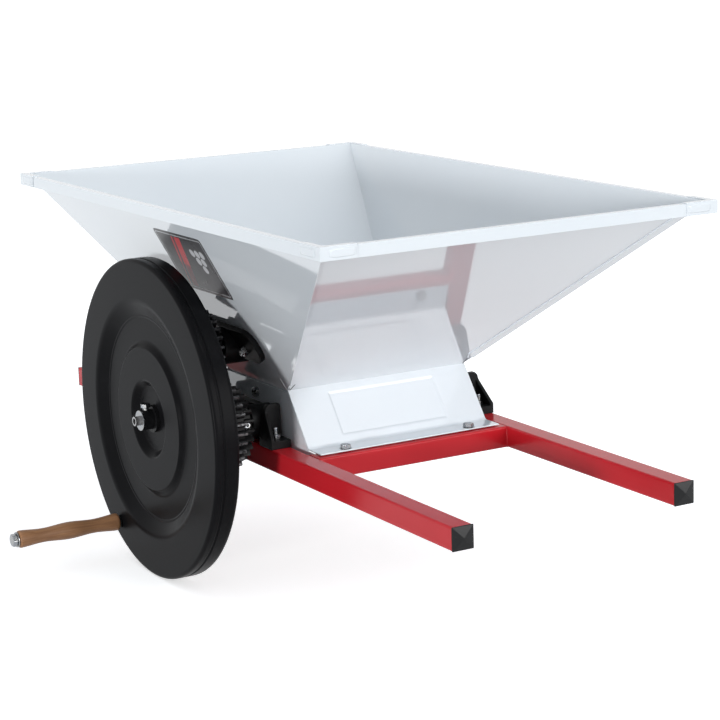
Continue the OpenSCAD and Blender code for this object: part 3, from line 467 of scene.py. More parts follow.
for entry in frame["record"]["subparts"]:
    node, slot = entry["node"], entry["material_slot"]
    solid = frame["nodes"][node]
    solid.data.materials.clear()
    solid.data.materials.append(gear_black.get(node, FINISHES[slot]))
    width = GEAR_EDGE if node in gear_black else EDGE.get(slot, PLAIN_EDGE)
    soften(solid, width, FACET.get(slot, SHARP))

# %% [markdown]
# ## Surfaces from numbers
# Some pieces need a finer shape than their solids. They could be modelled by hand, but numbers
# give the same shape each time and can be changed in one place. So they are surfaces worked out
# as whole arrays: a grid of points and the quads between them. A few helpers make the grid, join
# several surfaces into one piece and put it in place of its solid.


# %% Grid helpers
def grid_quads(rows, columns, closed_rows=False, closed_columns=True):
    """Quads of a rows by columns grid, whose point (i, j) has the number i * columns + j. A closed
    direction joins its last line to its first."""
    i = np.arange(rows if closed_rows else rows - 1)[:, None]
    j = np.arange(columns if closed_columns else columns - 1)[None, :]
    next_i, next_j = (i + 1) % rows, (j + 1) % columns
    corners = [
        i * columns + j,
        i * columns + next_j,
        next_i * columns + next_j,
        next_i * columns + j,
    ]
    return np.stack(np.broadcast_arrays(*corners), -1).reshape(-1, 4)


def join(surfaces):
    """One set of points and quads from several surfaces."""
    starts = np.cumsum([0] + [len(points) for points, _ in surfaces])
    return (
        np.concatenate([points for points, _ in surfaces]),
        np.concatenate([quads + start for (_, quads), start in zip(surfaces, starts)]),
    )


# %% A surface becomes a piece
POINT_MERGE = 0.001 * MM


def add_piece(name, surface, body, slot, stands_for=(), look=None, sharp=None, wall=0.0):
    """Makes a surface a piece that moves with a body and takes the place of its solids. A closed
    surface is turned outwards. A sheet keeps the side that it was made with and gets a wall
    behind it. Edges stay crisp where they turn by more than the sharp angle."""
    points, quads = surface
    mesh = bpy.data.meshes.new(name)
    mesh.from_pydata(points.tolist(), [], quads.tolist())
    form = bmesh.new()
    form.from_mesh(mesh)
    bmesh.ops.remove_doubles(form, verts=form.verts, dist=POINT_MERGE)
    if not wall:
        bmesh.ops.recalc_face_normals(form, faces=form.faces)
    form.to_mesh(mesh)
    form.free()
    mesh.shade_smooth()
    if sharp:
        mesh.set_sharp_from_angle(angle=sharp)
    mesh.materials.append(look or FINISHES[slot])
    piece = bpy.data.objects.new(name, mesh)
    bpy.context.scene.collection.objects.link(piece)
    if wall:
        back = piece.modifiers.new("wall", "SOLIDIFY")
        back.thickness, back.offset = wall, -1.0
    piece.modifiers.new("shade", "WEIGHTED_NORMAL").keep_sharp = bool(sharp or wall)
    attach(piece, body)
    if stands_for:
        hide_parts(*stands_for)
    print("piece:", name, len(mesh.polygons), "faces")


# %% Rounded and turned outlines
NEAR_HALF = 0.49


def middle(node):
    """Half the sum of the two corners of a node's box."""
    low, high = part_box(node)
    return np.array((low + high) / 2)


def rounded(corners, radius, steps=6):
    """A closed outline with each corner B as the curve (1-t)^2 A + 2t(1-t) B + t^2 C, where A and
    C lie on its two edges at the given radius, or at just under half an edge."""
    b = np.asarray(corners, float)
    back, on = np.roll(b, 1, 0) - b, np.roll(b, -1, 0) - b
    back_length = np.linalg.norm(back, axis=1, keepdims=True)
    on_length = np.linalg.norm(on, axis=1, keepdims=True)
    reach = np.minimum(np.reshape(radius, (-1, 1)), NEAR_HALF * np.minimum(back_length, on_length))
    a, c = b + back / back_length * reach, b + on / on_length * reach
    t = np.linspace(0, 1, steps)[None, :, None]
    curve = (1 - t) ** 2 * a[:, None] + 2 * t * (1 - t) * b[:, None] + t**2 * c[:, None]
    return curve.reshape(-1, 2)


def turned(outline, centre, steps):
    """A closed outline of (x, radius) turned about an axis along X:
    (x, y + r cos a, z + r sin a)."""
    x, r = outline.T[:, :, None]
    a = np.linspace(0, 2 * np.pi, steps, endpoint=False)
    y, z = centre[0] + r * np.cos(a), centre[1] + r * np.sin(a)
    points = np.stack(np.broadcast_arrays(x, y, z), -1)
    return points.reshape(-1, 3), grid_quads(len(outline), steps, closed_rows=True)


# %% [markdown]
# ## Flywheel
# The flywheel is a hollow moulding round an iron ring, so all its steps have soft corners, and a
# fine ridge runs round the foot of its outer slope. A bevel would round every step alike. A lathe
# would make the wheel from one outline, and so does this cell: each corner of the outline becomes
# a curve of its own size, and the whole is turned about the drive shaft.

# %% Flywheel shell
# Each corner of the front and of the rim's groove has three numbers: how far it lies behind the
# face, its radius (in the groove from the rim) and how widely it is rounded.
FRONT = np.array(
    [
        [15, 10.05, 0.3],
        [15, 45, 3],
        [5, 54, 2.5],
        [5, 100, 1.5],
        [11, 107, 4],
        [11, 140.5, 0.9],
        [10.1, 142.5, 0.8],
        [10.4, 144.5, 0.9],
        [0, 165, 5],
    ]
)
GROOVE = np.array([[11, 0, 0.6], [11.75, -1.5, 0.5], [14, -1.5, 0.5], [14.75, 0, 0.6]])
RIM_ROUND, POCKET_ROUND = 9 * MM, 0.2 * MM
BACK_R, COVER = 206 * MM, 4 * MM
RING_IN, RING_OUT, RING_DEPTH = 106 * MM, 181 * MM, 14.5 * MM
WHEEL_STEPS = 256

low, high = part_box("flywheel_face")
wheel_axis = middle("flywheel_face")[1:]
wheel_r, face_x, back_x = (high.z - low.z) / 2, low.x, high.x
front = FRONT[:, :2] * MM + [face_x, 0]
groove = GROOVE[:, :2] * MM + [face_x, wheel_r]
rim = np.concatenate([[[face_x, wheel_r]], groove, [[back_x, wheel_r]]])
rim_round = np.concatenate([[RIM_ROUND], GROOVE[:, 2] * MM, [RIM_ROUND]])
bore_r, cover_x, ring_x = front[0, 1], back_x - COVER, face_x + RING_DEPTH
pocket = np.array(
    [
        [back_x, BACK_R],
        [cover_x, BACK_R],
        [cover_x, RING_OUT],
        [ring_x, RING_OUT],
        [ring_x, RING_IN],
        [cover_x, RING_IN],
        [cover_x, bore_r],
    ]
)
shell = rounded(
    np.concatenate([front, rim, pocket]),
    np.concatenate([FRONT[:, 2] * MM, rim_round, np.full(len(pocket), POCKET_ROUND)]),
)
wheel = turned(shell, wheel_axis, WHEEL_STEPS)
add_piece("flywheel_shell", wheel, "drive", "wheel_plastic", ["flywheel_face"])

# %% [markdown]
# ## Grip
# The wooden grip is thick at both ends, narrow at two necks and swells between them for the palm.
# Rings could be scaled by hand, but a wave along its length is smoother. The ends are eased over,
# as a turner would do it with a last light cut.

# %% Turned grip
# With t from 0 to 1 along it, r = neck + (1 + cos 4 pi t) / 2 * (belly or end - neck). Near an end
# it loses ease * share * (1 - sqrt(1 - o^2)), where o grows from 0 to 1 towards the end.
GRIP_END, GRIP_NECK, GRIP_BELLY = 12.5 * MM, 10.0 * MM, 12.25 * MM
GRIP_EASE, EASE_SHARE, PIN_R = 4.5 * MM, 0.7, 5.05 * MM
GRIP_ROWS, GRIP_STEPS = 90, 72
low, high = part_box("crank_grip")
grip_axis = middle("crank_grip")[1:]
t = np.linspace(0, 1, GRIP_ROWS)
wave = (1 + np.cos(4 * np.pi * t)) / 2
grip_r = GRIP_NECK + wave * (np.where(abs(t - 0.5) < 0.25, GRIP_BELLY, GRIP_END) - GRIP_NECK)
length = high.x - low.x
from_end = np.minimum(t, 1 - t) * length
over = np.clip(1 - from_end / GRIP_EASE, 0, 1)
grip_r = grip_r - GRIP_EASE * EASE_SHARE * (1 - np.sqrt(1 - over**2))
grip_line = np.stack([high.x - t * length, grip_r], -1)
grip_line = np.concatenate([[[high.x, PIN_R]], grip_line, [[low.x, PIN_R]]])
grip = turned(grip_line, grip_axis, GRIP_STEPS)
add_piece("turned_grip", grip, "grip", "grip_wood", ["crank_grip"])

# %% [markdown]
# ## Bolts, nuts and studs
# The frame and its bearings are held by plated hexagon bolts. A real head is forged with its six
# corners turned off by a cone, which leaves the curved edges that catch the light, and a thread
# is a ridge that climbs by one pitch a turn. Boolean cuts could make both, but one formula for
# the radius at each height and angle is shorter and exact: the cone is a round limit on the
# hexagon, and the thread is a wave of height and angle.

# %% A radius for each height and angle
# A hexagon of NO_FLATS is so wide that it limits nothing.
NO_FLATS, M8_PITCH = 1.0, 1.25 * MM


def fastener(rows, origin, axis, turn=0.0, pitch=M8_PITCH, steps=48, ring=False):
    """Rows of (height, round radius, width across flats, thread depth) along an axis. At angle a
    the radius is the smaller of the round radius and half the width over cos(a to the nearest
    flat), less the depth times a triangle wave of height / pitch - a / full turn. A ring joins
    its last row to its first."""
    h, round_r, flats, depth = np.asarray(rows, float).T[:, :, None]
    a = np.linspace(0, 2 * np.pi, steps, endpoint=False)
    to_flat = (a + np.pi / 6) % (np.pi / 3) - np.pi / 6
    wave = abs(2 * ((h / pitch - a / (2 * np.pi)) % 1) - 1)
    r = np.minimum(round_r, flats / 2 / np.cos(to_flat)) - depth * wave
    along = np.asarray(axis, float) / np.linalg.norm(axis)
    side = np.cross(along, np.eye(3)[np.argmin(abs(along))])
    side /= np.linalg.norm(side)
    up = np.cross(along, side)
    spoke = np.cos(a + turn)[:, None] * side + np.sin(a + turn)[:, None] * up
    points = np.asarray(origin) + h[..., None] * along + r[..., None] * spoke
    return points.reshape(-1, 3), grid_quads(len(h), steps, closed_rows=ring)


def plain(*rows):
    """Rows of (height, radius) that are round and have no thread."""
    return [(h, r, NO_FLATS, 0) for h, r in rows]


# %% Hexagon, shank and thread
# The cone starts at a share of the width across flats, the eased ends are shares of the radius,
# and a thread's depth is one of its pitch.
CORNER = 1 / np.cos(np.pi / 6)
CONE_FROM, CONE_SLOPE, CONE_ROWS = 0.95, np.tan(np.radians(30)), 5
SHANK_EASE, TIP_EASE, TIP_R, THREAD_DEPTH = 0.15, 0.2, 0.78, 0.6


def hexagon(start, height, flats, inner):
    """Rows of a hexagon between two heights, its corners turned off by a cone at both ends: a row
    with a wider round limit lies (limit - first limit) * slope further in."""
    cone = np.linspace(CONE_FROM, CORNER, CONE_ROWS) * flats / 2
    rise = (cone - cone[0]) * CONE_SLOPE
    low = [(start + d, r, flats, 0) for d, r in zip(rise, cone)]
    top = [(start + height - d, r, flats, 0) for d, r in zip(rise[::-1], cone[::-1])]
    return plain((start, inner)) + low + top + plain((start + height, inner))


def shank(start, end, r):
    """Rows of a plain round bar with an eased start and no end face."""
    return plain((start, 0), (start, r * (1 - SHANK_EASE)), (start + SHANK_EASE * r, r), (end, r))


def thread(start, end, r, pitch=M8_PITCH, rows_a_turn=8):
    """Rows of a threaded end with an eased tip and its end face. The depth grows from 0 to its
    share of the pitch over the first turn."""
    heights = np.linspace(start, end - TIP_EASE * r, int((end - start) / pitch * rows_a_turn))
    cut = THREAD_DEPTH * pitch * np.clip((heights - start) / pitch, 0, 1)
    rows = [(h, r, NO_FLATS, c) for h, c in zip(heights, cut)]
    return rows + plain((end, r * TIP_R), (end, 0))


cone_rise = (CORNER - CONE_FROM) * CONE_SLOPE / 2
print("cone rises", round(cone_rise, 3), "of the width across flats")

# %% [markdown]
# ## Where the fasteners sit
# Four bolts hold the skirt's feet on the crossbars, one bolt on each side holds the hopper's lap,
# two studs stand on each rail and clamp a bearing bracket, and two nuts hold each stirrer bearing
# on its sloping wall. Copies of one bolt would all stand alike, so each head is made with its own
# odd angle, as a hand spanner leaves it.

# %% Bolts of the skirt
M8_R, M8_FLATS, M8_HEAD, CRISP = 4 * MM, 13 * MM, 5.6 * MM, np.radians(40)
FOOT_X, FOOT_Y, FOOT_Z, FOOT_SHANK = 97.5 * MM, 168.25 * MM, 33.1 * MM, 16.6 * MM
LAP_X, LAP_Z, LAP_SHANK = 141 * MM, 86.5 * MM, 8 * MM
SIDES = [(x, y) for x in (-1, 1) for y in (-1, 1)]
TURNS, UPWARD = np.radians([8, 37, 21, 52]), (0, 0, 1)


def hex_bolt(length):
    """Rows of a bolt with a shank of that length below height 0 and its head above."""
    head = hexagon(0, M8_HEAD, M8_FLATS, M8_R)[1:-1]
    return shank(-length, 0, M8_R) + head + plain((M8_HEAD, 0))


foot_bolts = [
    fastener(hex_bolt(FOOT_SHANK), (x * FOOT_X, y * FOOT_Y, FOOT_Z), UPWARD, turn)
    for (x, y), turn in zip(SIDES, TURNS)
]
add_piece("foot_bolts", join(foot_bolts), "frame", "zinc", ["skirt_bolts"], sharp=CRISP)
lap_bolts = [
    fastener(hex_bolt(LAP_SHANK), (side * LAP_X, 0, LAP_Z), (side, 0, 0), turn)
    for side, turn in zip((-1, 1), TURNS[2:])
]
add_piece("lap_hexagon_bolts", join(lap_bolts), "frame", "zinc", ["lap_bolts"], sharp=CRISP)

# %% Studs and nuts of the brackets
M8_NUT, NUT_PLAY = 6.4 * MM, 0.05 * MM
STUD_X, STUD_Y, STUD_FOOT_R = 163 * MM, 92 * MM, 8 * MM
STUD_FOOT, STUD_HEAD, NUT_Z, STUD_TOP = 24.8 * MM, 28 * MM, 41 * MM, 56.4 * MM
stud = plain(
    (STUD_FOOT, 0),
    (STUD_FOOT, STUD_FOOT_R),
    (STUD_HEAD, STUD_FOOT_R),
    (STUD_HEAD, M8_R),
    (NUT_Z, M8_R),
) + thread(NUT_Z, STUD_TOP, M8_R)
nut = hexagon(0, M8_NUT, M8_FLATS, M8_R + NUT_PLAY)
studs = [fastener(stud, (x * STUD_X, y * STUD_Y, 0), UPWARD) for x, y in SIDES]
nuts = [
    fastener(nut, (x * STUD_X, y * STUD_Y, NUT_Z), UPWARD, turn, ring=True)
    for (x, y), turn in zip(SIDES, TURNS)
]
add_piece("threaded_studs", join(studs), "frame", "zinc", ["bracket_studs"], sharp=CRISP)
add_piece("stud_nuts", join(nuts), "frame", "zinc", ["bracket_nuts"], sharp=CRISP)

# %% Nuts of the stirrer's bearings
WALL_LEAN = np.radians(28.84)
STIRRER_X, STIRRER_Y, STIRRER_Z = 169.98 * MM, 45 * MM, 157.975 * MM
STIRRER_RISE, STIRRER_SEAT = 4 * MM, 8 * MM
out_x, out_z = np.cos(WALL_LEAN), -np.sin(WALL_LEAN)
wall_nuts = [
    fastener(
        hexagon(STIRRER_SEAT, M8_NUT, M8_FLATS, M8_R + NUT_PLAY),
        (
            x * (STIRRER_X - STIRRER_RISE * out_z),
            y * STIRRER_Y,
            STIRRER_Z + STIRRER_RISE * out_x,
        ),
        (x * out_x, 0, out_z),
        turn,
        ring=True,
    )
    for (x, y), turn in zip(SIDES, TURNS)
]
add_piece(
    "stirrer_bearing_nuts",
    join(wall_nuts),
    "frame",
    "zinc",
    ["agitator_bearing_nuts"],
    sharp=CRISP,
)

# %% [markdown]
# ## Fasteners that turn
# A set screw holds the flywheel's hub on the shaft, and the crank is a long bolt through the
# flywheel with its head at the tip of the grip and a nut behind the wheel. They are made as the
# others, along their own axes.

# %% Hub screw
HUB_SEAT, HUB_SHANK, HUB_TURN = 76.05 * MM, 7 * MM, 0.2
hub = middle("flywheel_hub_screw")
hub_screw = fastener(hex_bolt(HUB_SHANK), (hub[0], hub[1], HUB_SEAT), UPWARD, HUB_TURN)
add_piece("hub_set_screw", hub_screw, "drive", "zinc", ["flywheel_hub_screw"], sharp=CRISP)

# %% Crank bolt and its nut
PIN_BAR, PIN_FLATS, PIN_HEAD, PIN_PITCH = 5 * MM, 16.25 * MM, 7 * MM, 1.5 * MM
PIN_NUT, PIN_NUT_TURN, INWARD = 8 * MM, 0.3, (1, 0, 0)
low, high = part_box("crank_pin")
pin_y, pin_z = middle("crank_pin")[1:]
nut_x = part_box("crank_nut")[0].x
thread_h, tip_h = nut_x - low.x, high.x - low.x
pin = hexagon(0, PIN_HEAD, PIN_FLATS, 0)[:-1] + plain((PIN_HEAD, PIN_BAR), (thread_h, PIN_BAR))
pin += thread(thread_h, tip_h, PIN_BAR, PIN_PITCH)
crank_bolt = fastener(pin, (low.x, pin_y, pin_z), INWARD, pitch=PIN_PITCH)
add_piece("crank_bolt", crank_bolt, "drive", "zinc", ["crank_pin"], sharp=CRISP)
pin_nut = hexagon(0, PIN_NUT, PIN_FLATS, PIN_BAR + NUT_PLAY)
crank_nut = fastener(pin_nut, (nut_x, pin_y, pin_z), INWARD, PIN_NUT_TURN, ring=True)
add_piece("crank_bolt_nut", crank_nut, "drive", "zinc", ["crank_nut"], sharp=CRISP)

# %% [markdown]
# ## Skirt sheets
# Under the hopper a sheet at each end slopes out to its crossbar and folds flat there as a foot.
# A panel is pressed into it to stiffen it, and the press leaves soft edges. It could be sculpted,
# but a formula keeps the edges even. The sheet is a folded line carried across the width; where
# the panel lies, each point moves inward by the panel's depth, eased at its edges. A Solidify
# modifier then gives the sheet its wall.


# %% Ease and fold
def ease(t):
    """0 below 0, 1 above 1 and 3t^2 - 2t^3 between."""
    t = np.clip(t, 0, 1)
    return t * t * (3 - 2 * t)


def folded(line, reach, steps):
    """Two straight runs with the corner between them as the curve
    (1-t)^2 A + 2t(1-t) B + t^2 C."""
    first, corner, last = line
    a = corner + (first - corner) / np.linalg.norm(first - corner) * reach
    c = corner + (last - corner) / np.linalg.norm(last - corner) * reach
    t = np.linspace(0, 1, steps)[:, None]
    bend = (1 - t) ** 2 * a + 2 * t * (1 - t) * corner + t**2 * c
    return np.concatenate([first + (a - first) * t[:-1], bend, (c + (last - c) * t)[1:]])


# %% Pressed and folded sheets
SKIRT_HALF, SKIRT_WALL, SKIRT_CRISP = 141 * MM, 1.5 * MM, np.radians(60)
SKIRT_LINE = np.array([[-89.74, 104.7], [-144, 31.5], [-178.5, 31.5]]) * MM
FOLD_REACH, FOLD_STEPS, FOOT_TOP = 4.5 * MM, 60, 32 * MM
PANEL_HALF, PANEL_MARGIN, PANEL_DEPTH, PANEL_EDGE = 84 * MM, 13 * MM, 1.2 * MM, 2.0 * MM
COLUMNS, COLUMNS_PAST = 140, 2 * MM


def pressed_sheet(end):
    """A folded line carried along X. Points in the panel move against the sheet's outer normal by
    depth * ease(x) * ease(s), where s is the way down the slope."""
    slope = np.linalg.norm(SKIRT_LINE[1] - SKIRT_LINE[0])
    line = folded(SKIRT_LINE, FOLD_REACH, FOLD_STEPS)
    reach = PANEL_HALF + COLUMNS_PAST
    x = np.concatenate([[-SKIRT_HALF], np.linspace(-reach, reach, COLUMNS), [SKIRT_HALF]])
    s = np.linalg.norm(line - SKIRT_LINE[0], axis=1)
    across = ease((PANEL_HALF - abs(x)) / PANEL_EDGE)
    from_top, from_foot = s - PANEL_MARGIN, slope - PANEL_MARGIN - s
    down = ease(from_top / PANEL_EDGE) * ease(from_foot / PANEL_EDGE) * (line[:, 1] > FOOT_TOP)
    sink = PANEL_DEPTH * down[:, None] * across[None, :]
    run = (SKIRT_LINE[1] - SKIRT_LINE[0]) / slope
    inward = np.array([-run[1], run[0]])
    y = line[:, :1] + sink * inward[0]
    z = line[:, 1:] + sink * inward[1]
    points = np.stack(np.broadcast_arrays(-end * x[None, :], end * -y, z), -1)
    return points.reshape(-1, 3), grid_quads(len(line), len(x), closed_columns=False)


for end, node in ((-1, "skirt_front"), (1, "skirt_rear")):
    add_piece(
        node + "_sheet",
        pressed_sheet(end),
        "frame",
        "hopper_paint",
        [node],
        sharp=SKIRT_CRISP,
        wall=SKIRT_WALL,
    )

# %% [markdown]
# ## Welds
# The crossbars are welded between the rails. A hand weld is a row of overlapping drops in the
# corner, under the same red enamel. Drops set one by one would cut into each other, so each weld
# is one thin bar along the corner, whose radius rises and falls once a drop and runs out at both
# ends.

# %% Corner welds
# At height h, r = (R + ripple * |sin(pi h / drop)|) * sqrt(1 - (2 h / tube - 1)^end).
WELD_R, WELD_DROP, WELD_RIPPLE = 1.2 * MM, 2.4 * MM, 0.2 * MM
WELD_X, WELD_FACES, TUBE = 148 * MM, (158 * MM, 188 * MM), 30 * MM
WELD_GAP, WELD_ROWS, WELD_STEPS, WELD_END = 0.5 * MM, 90, 16, 8
weld_h = np.linspace(WELD_GAP, TUBE - WELD_GAP, WELD_ROWS)
drops = WELD_R + WELD_RIPPLE * abs(np.sin(np.pi * weld_h / WELD_DROP))
weld_r = drops * np.sqrt(1 - (2 * weld_h / TUBE - 1) ** WELD_END)
weld = plain((weld_h[0], 0), *zip(weld_h, weld_r), (weld_h[-1], 0))
welds = [
    fastener(weld, (x * WELD_X, y * face, 0), UPWARD, steps=WELD_STEPS)
    for x, y in SIDES
    for face in WELD_FACES
]
add_piece("corner_welds", join(welds), "frame", "frame_paint")

# %% [markdown]
# ## Pressed tabs, a sticker and the neck's corners
# Each rim corner has a cover with a pressed tab on both legs. The left wall has a dark sticker
# with stripes and a bunch of dots. At the neck's corners a short slit ends the cut in each end
# wall, and a low lip stands on the side wall beside it. The slit's near black is painted shade,
# standing in for the shadow inside the cut. Cuts would break up the large smooth walls, so all
# are low pillows laid on a face: an outline of the form |u/a|^n + |v/b|^n = 1, shrunk to its
# middle and raised inside.

# %% Low pillows on a face
PILLOW_EDGE = 0.2


def pillow(centre, along, across, half, height, power, rings=10, steps=96):
    """Rings of the outline (a sgn(cos) |cos|^(2/n), b sgn(sin) |sin|^(2/n)), scaled by t from 0
    to 1 and raised by height * ease((1 - t) / edge) along the face's normal."""
    along, across = np.asarray(along, float), np.asarray(across, float)
    normal = np.cross(along, across)
    t = np.concatenate([[0], np.linspace(1 - PILLOW_EDGE, 1, rings)])[:, None]
    a = np.linspace(0, 2 * np.pi, steps, endpoint=False)
    edge = half[0] * np.sign(np.cos(a)) * abs(np.cos(a)) ** (2 / power)
    side = half[1] * np.sign(np.sin(a)) * abs(np.sin(a)) ** (2 / power)
    rise = height * ease((1 - t) / PILLOW_EDGE) + 0 * a
    points = np.asarray(centre) + (t * edge)[..., None] * along
    points = points + (t * side)[..., None] * across + rise[..., None] * normal
    return points.reshape(-1, 3), grid_quads(len(t), steps)


# %% Tabs of the rim's covers
RIM_X, RIM_Y, RIM_MID = 289.7 * MM, 469.2 * MM, 352.6 * MM
TAB_IN, TAB_HALF = 30 * MM, np.array([18, 5]) * MM
TAB_RISE, TAB_POWER, TAB_WALL = 0.8 * MM, 6, 0.3 * MM
end_legs = [((x * (RIM_X - TAB_IN), y * RIM_Y, RIM_MID), (-y, 0, 0)) for x, y in SIDES]
side_legs = [((x * RIM_X, y * (RIM_Y - TAB_IN), RIM_MID), (0, x, 0)) for x, y in SIDES]
tabs = [
    pillow(centre, along, UPWARD, TAB_HALF, TAB_RISE, TAB_POWER)
    for centre, along in end_legs + side_legs
]
add_piece("rim_cover_tabs", join(tabs), "frame", "hopper_paint", wall=TAB_WALL)

# %% Sticker
NECK_X, NECK_Z, WALL_RUN = 139.7 * MM, 103 * MM, 0.5506
STICKER_Y, STICKER_Z, STICKER_HALF = -13 * MM, 278.5 * MM, np.array([73, 49.5]) * MM
STICKER_RISE, STICKER_POWER, STICKER_STEPS, STICKER_WALL = 0.15 * MM, 24, 192, 0.1 * MM
STICKER_GROUND, STICKER_GREY = (0.022, 0.022, 0.025), (0.52, 0.53, 0.55)
STICKER_RED = (0.50, 0.016, 0.025)
DOT_ROWS, DOT_R, DOT_SOFT, DOT_STEP = 3, 6.2 * MM, 0.4 * MM, 14.5 * MM
DOTS_ASIDE, DOTS_UP, DOT_ROW_STEP = 36 * MM, 1.6, 0.87
SLANT, STRIPES, STRIPE_SOFT = (0.94, 0.34), ((10 * MM, 26 * MM), (31 * MM, 35 * MM)), 0.5 * MM
LINE_FROM, LINE_TO, LINE_SOFT, PRINT_FROM = 4 * MM, 5.2 * MM, 0.3 * MM, 7 * MM


def sticker_print(place):
    """With u and v the place on the wall from the sticker's middle, a dot is where the squared
    distance from its own middle is below r^2, a stripe is a band of a slanted sum of u and v, and
    the frame is a band of the distance from the edge."""
    u = place.part("Y") - STICKER_Y
    v = (place.part("Z") - STICKER_Z) / out_x
    dots = 0.0
    for row in range(DOT_ROWS):
        for column in range(DOT_ROWS - row):
            across = u + (DOTS_ASIDE + (column - (DOT_ROWS - 1 - row) / 2) * DOT_STEP)
            down = v + (row - DOTS_UP) * DOT_STEP * DOT_ROW_STEP
            dots = dots + (across * across + down * down).step((DOT_R + DOT_SOFT) ** 2, DOT_R**2)
    slant = u * SLANT[0] + v * SLANT[1]
    wide, narrow = (slant.band(start, end, STRIPE_SOFT) for start, end in STRIPES)
    from_end = STICKER_HALF[0] - u.sum("ABSOLUTE", u)
    from_side = STICKER_HALF[1] - v.sum("ABSOLUTE", v)
    inset = u.sum("MINIMUM", from_end, from_side)
    grey = u.sum("MAXIMUM", dots, inset.band(LINE_FROM, LINE_TO, LINE_SOFT))
    stripes = (wide + narrow) * inset.step(PRINT_FROM, PRINT_FROM + STRIPE_SOFT)
    scuff = place.noise(0.02, 5, 0.7)
    return {
        "Base Color": grey.blend(stripes.blend(STICKER_GROUND, STICKER_RED), STICKER_GREY),
        "Roughness": scuff * 0.2 + 0.2,
        "Normal": place.bump(place.noise(0.03, 2), 0.05 * MM),
    }


sticker_film = finish("sticker_film", sticker_print)
sticker_x = -(NECK_X + (STICKER_Z - NECK_Z) * WALL_RUN)
up_wall = np.array([-np.sin(WALL_LEAN), 0, np.cos(WALL_LEAN)])
sticker = pillow(
    (sticker_x, STICKER_Y, STICKER_Z),
    (0, -1, 0),
    up_wall,
    STICKER_HALF,
    STICKER_RISE,
    STICKER_POWER,
    steps=STICKER_STEPS,
)
add_piece("wall_sticker", sticker, "frame", "hopper_paint", look=sticker_film, wall=STICKER_WALL)

# %% Relief slits
# The slits' near black is painted shade: it stands in for the shadow inside each relief cut.
SLIT_SHADE_DARK, SLIT_SHADE_GREY = (0.010, 0.010, 0.011), (0.020, 0.020, 0.021)
SLIT_HALF, SLIT_RISE, LIP_RISE = np.array([11.5, 0.8]) * MM, 0.15 * MM, 0.5 * MM
SLIT_LIFT, SLIT_POWER, SLIT_STEPS, SLIT_WALL = 0.05 * MM, 2, 32, 0.05 * MM
SLIT_X, SLIT_Y, LIP_Y, END_RUN = 138 * MM, 90 * MM, 88 * MM, 1.4466


def painted_slit_shade(place):
    """Painted shade of the open cut: near black, mixed of two tones by a fine noise."""
    return {"Base Color": place.noise(2 * MM, 2).blend(SLIT_SHADE_DARK, SLIT_SHADE_GREY)}


def upright(foot, up, out, rise):
    """A narrow pillow that climbs a sloping wall: its centre is its foot + up * half its length +
    out * a small lift."""
    centre = np.array(foot) + up * SLIT_HALF[0] + out * SLIT_LIFT
    return pillow(centre, up, np.cross(out, up), SLIT_HALF, rise, SLIT_POWER, steps=SLIT_STEPS)


slit_shadow = finish("slit_shadow", painted_slit_shade, Roughness=0.8)
end_lean = np.arctan(END_RUN)
slits, lips = [], []
for x, y in SIDES:
    side_up, side_out = np.array([[x * -out_z, 0, out_x], [x * out_x, 0, out_z]])
    lips.append(upright((x * NECK_X, y * LIP_Y, NECK_Z), side_up, side_out, LIP_RISE))
    end_up = np.array([0, y * np.sin(end_lean), np.cos(end_lean)])
    end_out = np.array([0, y * np.cos(end_lean), -np.sin(end_lean)])
    slits.append(upright((x * SLIT_X, y * SLIT_Y, NECK_Z), end_up, end_out, SLIT_RISE))
add_piece("relief_slits", join(slits), "frame", "hopper_paint", look=slit_shadow, wall=SLIT_WALL)
add_piece("relief_lips", join(lips), "frame", "hopper_paint", wall=SLIT_WALL)

# %% [markdown]
# ## Studio
# The crusher stands before plain white, so the background is white to the camera and in
# reflections, and the floor keeps the soft shadow. A wide lamp in front, a little to the right,
# shades the sheets. A narrow one low on the left is stronger and leaves the gears behind the
# flywheel in the dark, and the world fills the rest. Colours come out about as they are written.

# %% Floor
FLOOR_HALF, FLOOR_DROP, FLOOR_GLOW = 40.0, 0.5 * MM, 0.60
PAPER_TONE, PAPER_CLOUD, PAPER_SEEN = (0.57, 0.57, 0.57), (0.59, 0.59, 0.59), (0.92, 0.92, 0.92)


def seen_white(tree):
    """1 for rays from the camera, from a mirror or through glass, which see plain white."""
    rays = tree.nodes.new("ShaderNodeLightPath")
    seen = Wire(tree, rays.outputs["Is Camera Ray"])
    for kind in ("Is Glossy Ray", "Is Transmission Ray"):
        seen = seen.sum("MAXIMUM", seen, Wire(tree, rays.outputs[kind]))
    return seen


def floor_paper(place):
    """Paper of two tones for the light, and paler with a glow for the rays that see white."""
    seen = seen_white(place.tree)
    paper = place.noise(2.0).blend(PAPER_TONE, PAPER_CLOUD)
    return {
        "Base Color": seen.blend(paper, PAPER_SEEN),
        "Emission Color": seen.blend((0, 0, 0), (FLOOR_GLOW, FLOOR_GLOW, FLOOR_GLOW)),
    }


floor_z = cad_box[0].z - FLOOR_DROP
floor_corners = np.array([[-1, -1, 0], [1, -1, 0], [1, 1, 0], [-1, 1, 0]])
floor_points = floor_corners * FLOOR_HALF + [0, 0, floor_z]
floor_mesh = bpy.data.meshes.new("studio_floor")
floor_mesh.from_pydata(floor_points.tolist(), [], [[0, 1, 2, 3]])
floor = bpy.data.objects.new("studio_floor", floor_mesh)
bpy.context.scene.collection.objects.link(floor)
floor_finish = finish(
    "studio_floor", floor_paper, Roughness=0.9, Specular_IOR_Level=0.0, Emission_Strength=1.0
)
floor_mesh.materials.append(floor_finish)
print("floor at", round(floor_z, 4), "m")

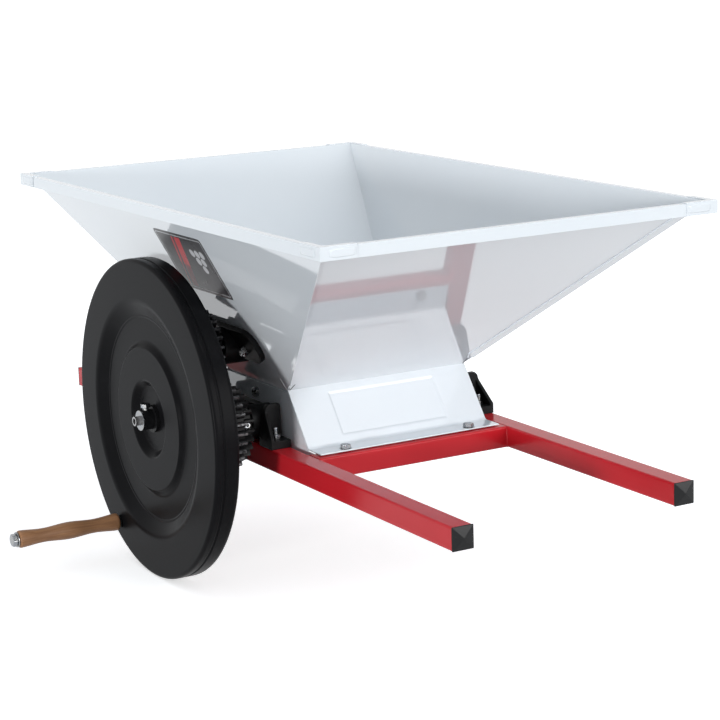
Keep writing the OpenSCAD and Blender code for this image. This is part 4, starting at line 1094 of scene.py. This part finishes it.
# %% World and lamps
# A lamp is the direction it shines from, its strength and its width in degrees.
HORIZON, ZENITH, FILL_TOP, COOL = 0.19, 0.76, 0.9, (0.95, 1.0, 1.05)
LAMPS = {
    "front_lamp": ((0.42, -0.87, 0.25), 1.7, 40),
    "left_lamp": ((-0.88, -0.45, 0.02), 2.3, 9),
}
world = bpy.data.worlds.new("studio")
bpy.context.scene.world = world
world.use_nodes = True
sky_tree = world.node_tree
sky = sky_tree.nodes["Background"]
towards = Wire(sky_tree, sky_tree.nodes.new("ShaderNodeTexCoord").outputs["Generated"])
fill = towards.part("Z").step(0.0, FILL_TOP) * (ZENITH - HORIZON) + HORIZON
seen = seen_white(sky_tree)
sky_tree.links.new(seen.blend(COOL, (1, 1, 1)).socket, sky.inputs["Color"])
sky_tree.links.new((seen * (1 - fill) + fill).socket, sky.inputs["Strength"])

for name, (source, power, width) in LAMPS.items():
    light = bpy.data.lights.new(name, "SUN")
    light.energy, light.angle = power, np.radians(width)
    lamp = bpy.data.objects.new(name, light)
    lamp.rotation_euler = Vector(source).to_track_quat("Z", "Y").to_euler()
    bpy.context.scene.collection.objects.link(lamp)
print("lamps:", list(LAMPS))

# %% [markdown]
# ## Camera
# The camera stands where the photograph was taken. It could be set by eye, but a pinhole fitted to
# the crusher's straight edges gives its place, its turn and its focal length in pixels, so edges
# fall about where the picture has them.

# %% Camera
PHOTO_SIDE, SENSOR, FOCUS_PX = 720, 36.0, 2171.52
EYE, AHEAD = (-1.4656, -2.6279, 0.7496), (0.4825, 0.8510, -0.2075)
RIGHT, UP = (0.8660, -0.4989, -0.0323), (0.1310, 0.1641, 0.9777)
view = bpy.data.cameras.new("photo_view")
view.sensor_width, view.lens = SENSOR, FOCUS_PX / PHOTO_SIDE * SENSOR
camera = bpy.data.objects.new("photo_view", view)
camera.matrix_world = Matrix(
    [[RIGHT[i], UP[i], -AHEAD[i], EYE[i]] for i in range(3)] + [[0, 0, 0, 1]]
)
bpy.context.scene.collection.objects.link(camera)
bpy.context.scene.camera = camera
bpy.context.scene.view_settings.view_transform = "Standard"
print("camera lens:", round(view.lens, 1), "mm")

# %% [markdown]
# ## Size
# Finishes and finer shapes should leave the crusher as large as its solids are. A look can't tell
# a millimetre, so the solids' box is printed.

# %% The solids' box
print("solids' box:", [list(c) for c in cad_box])
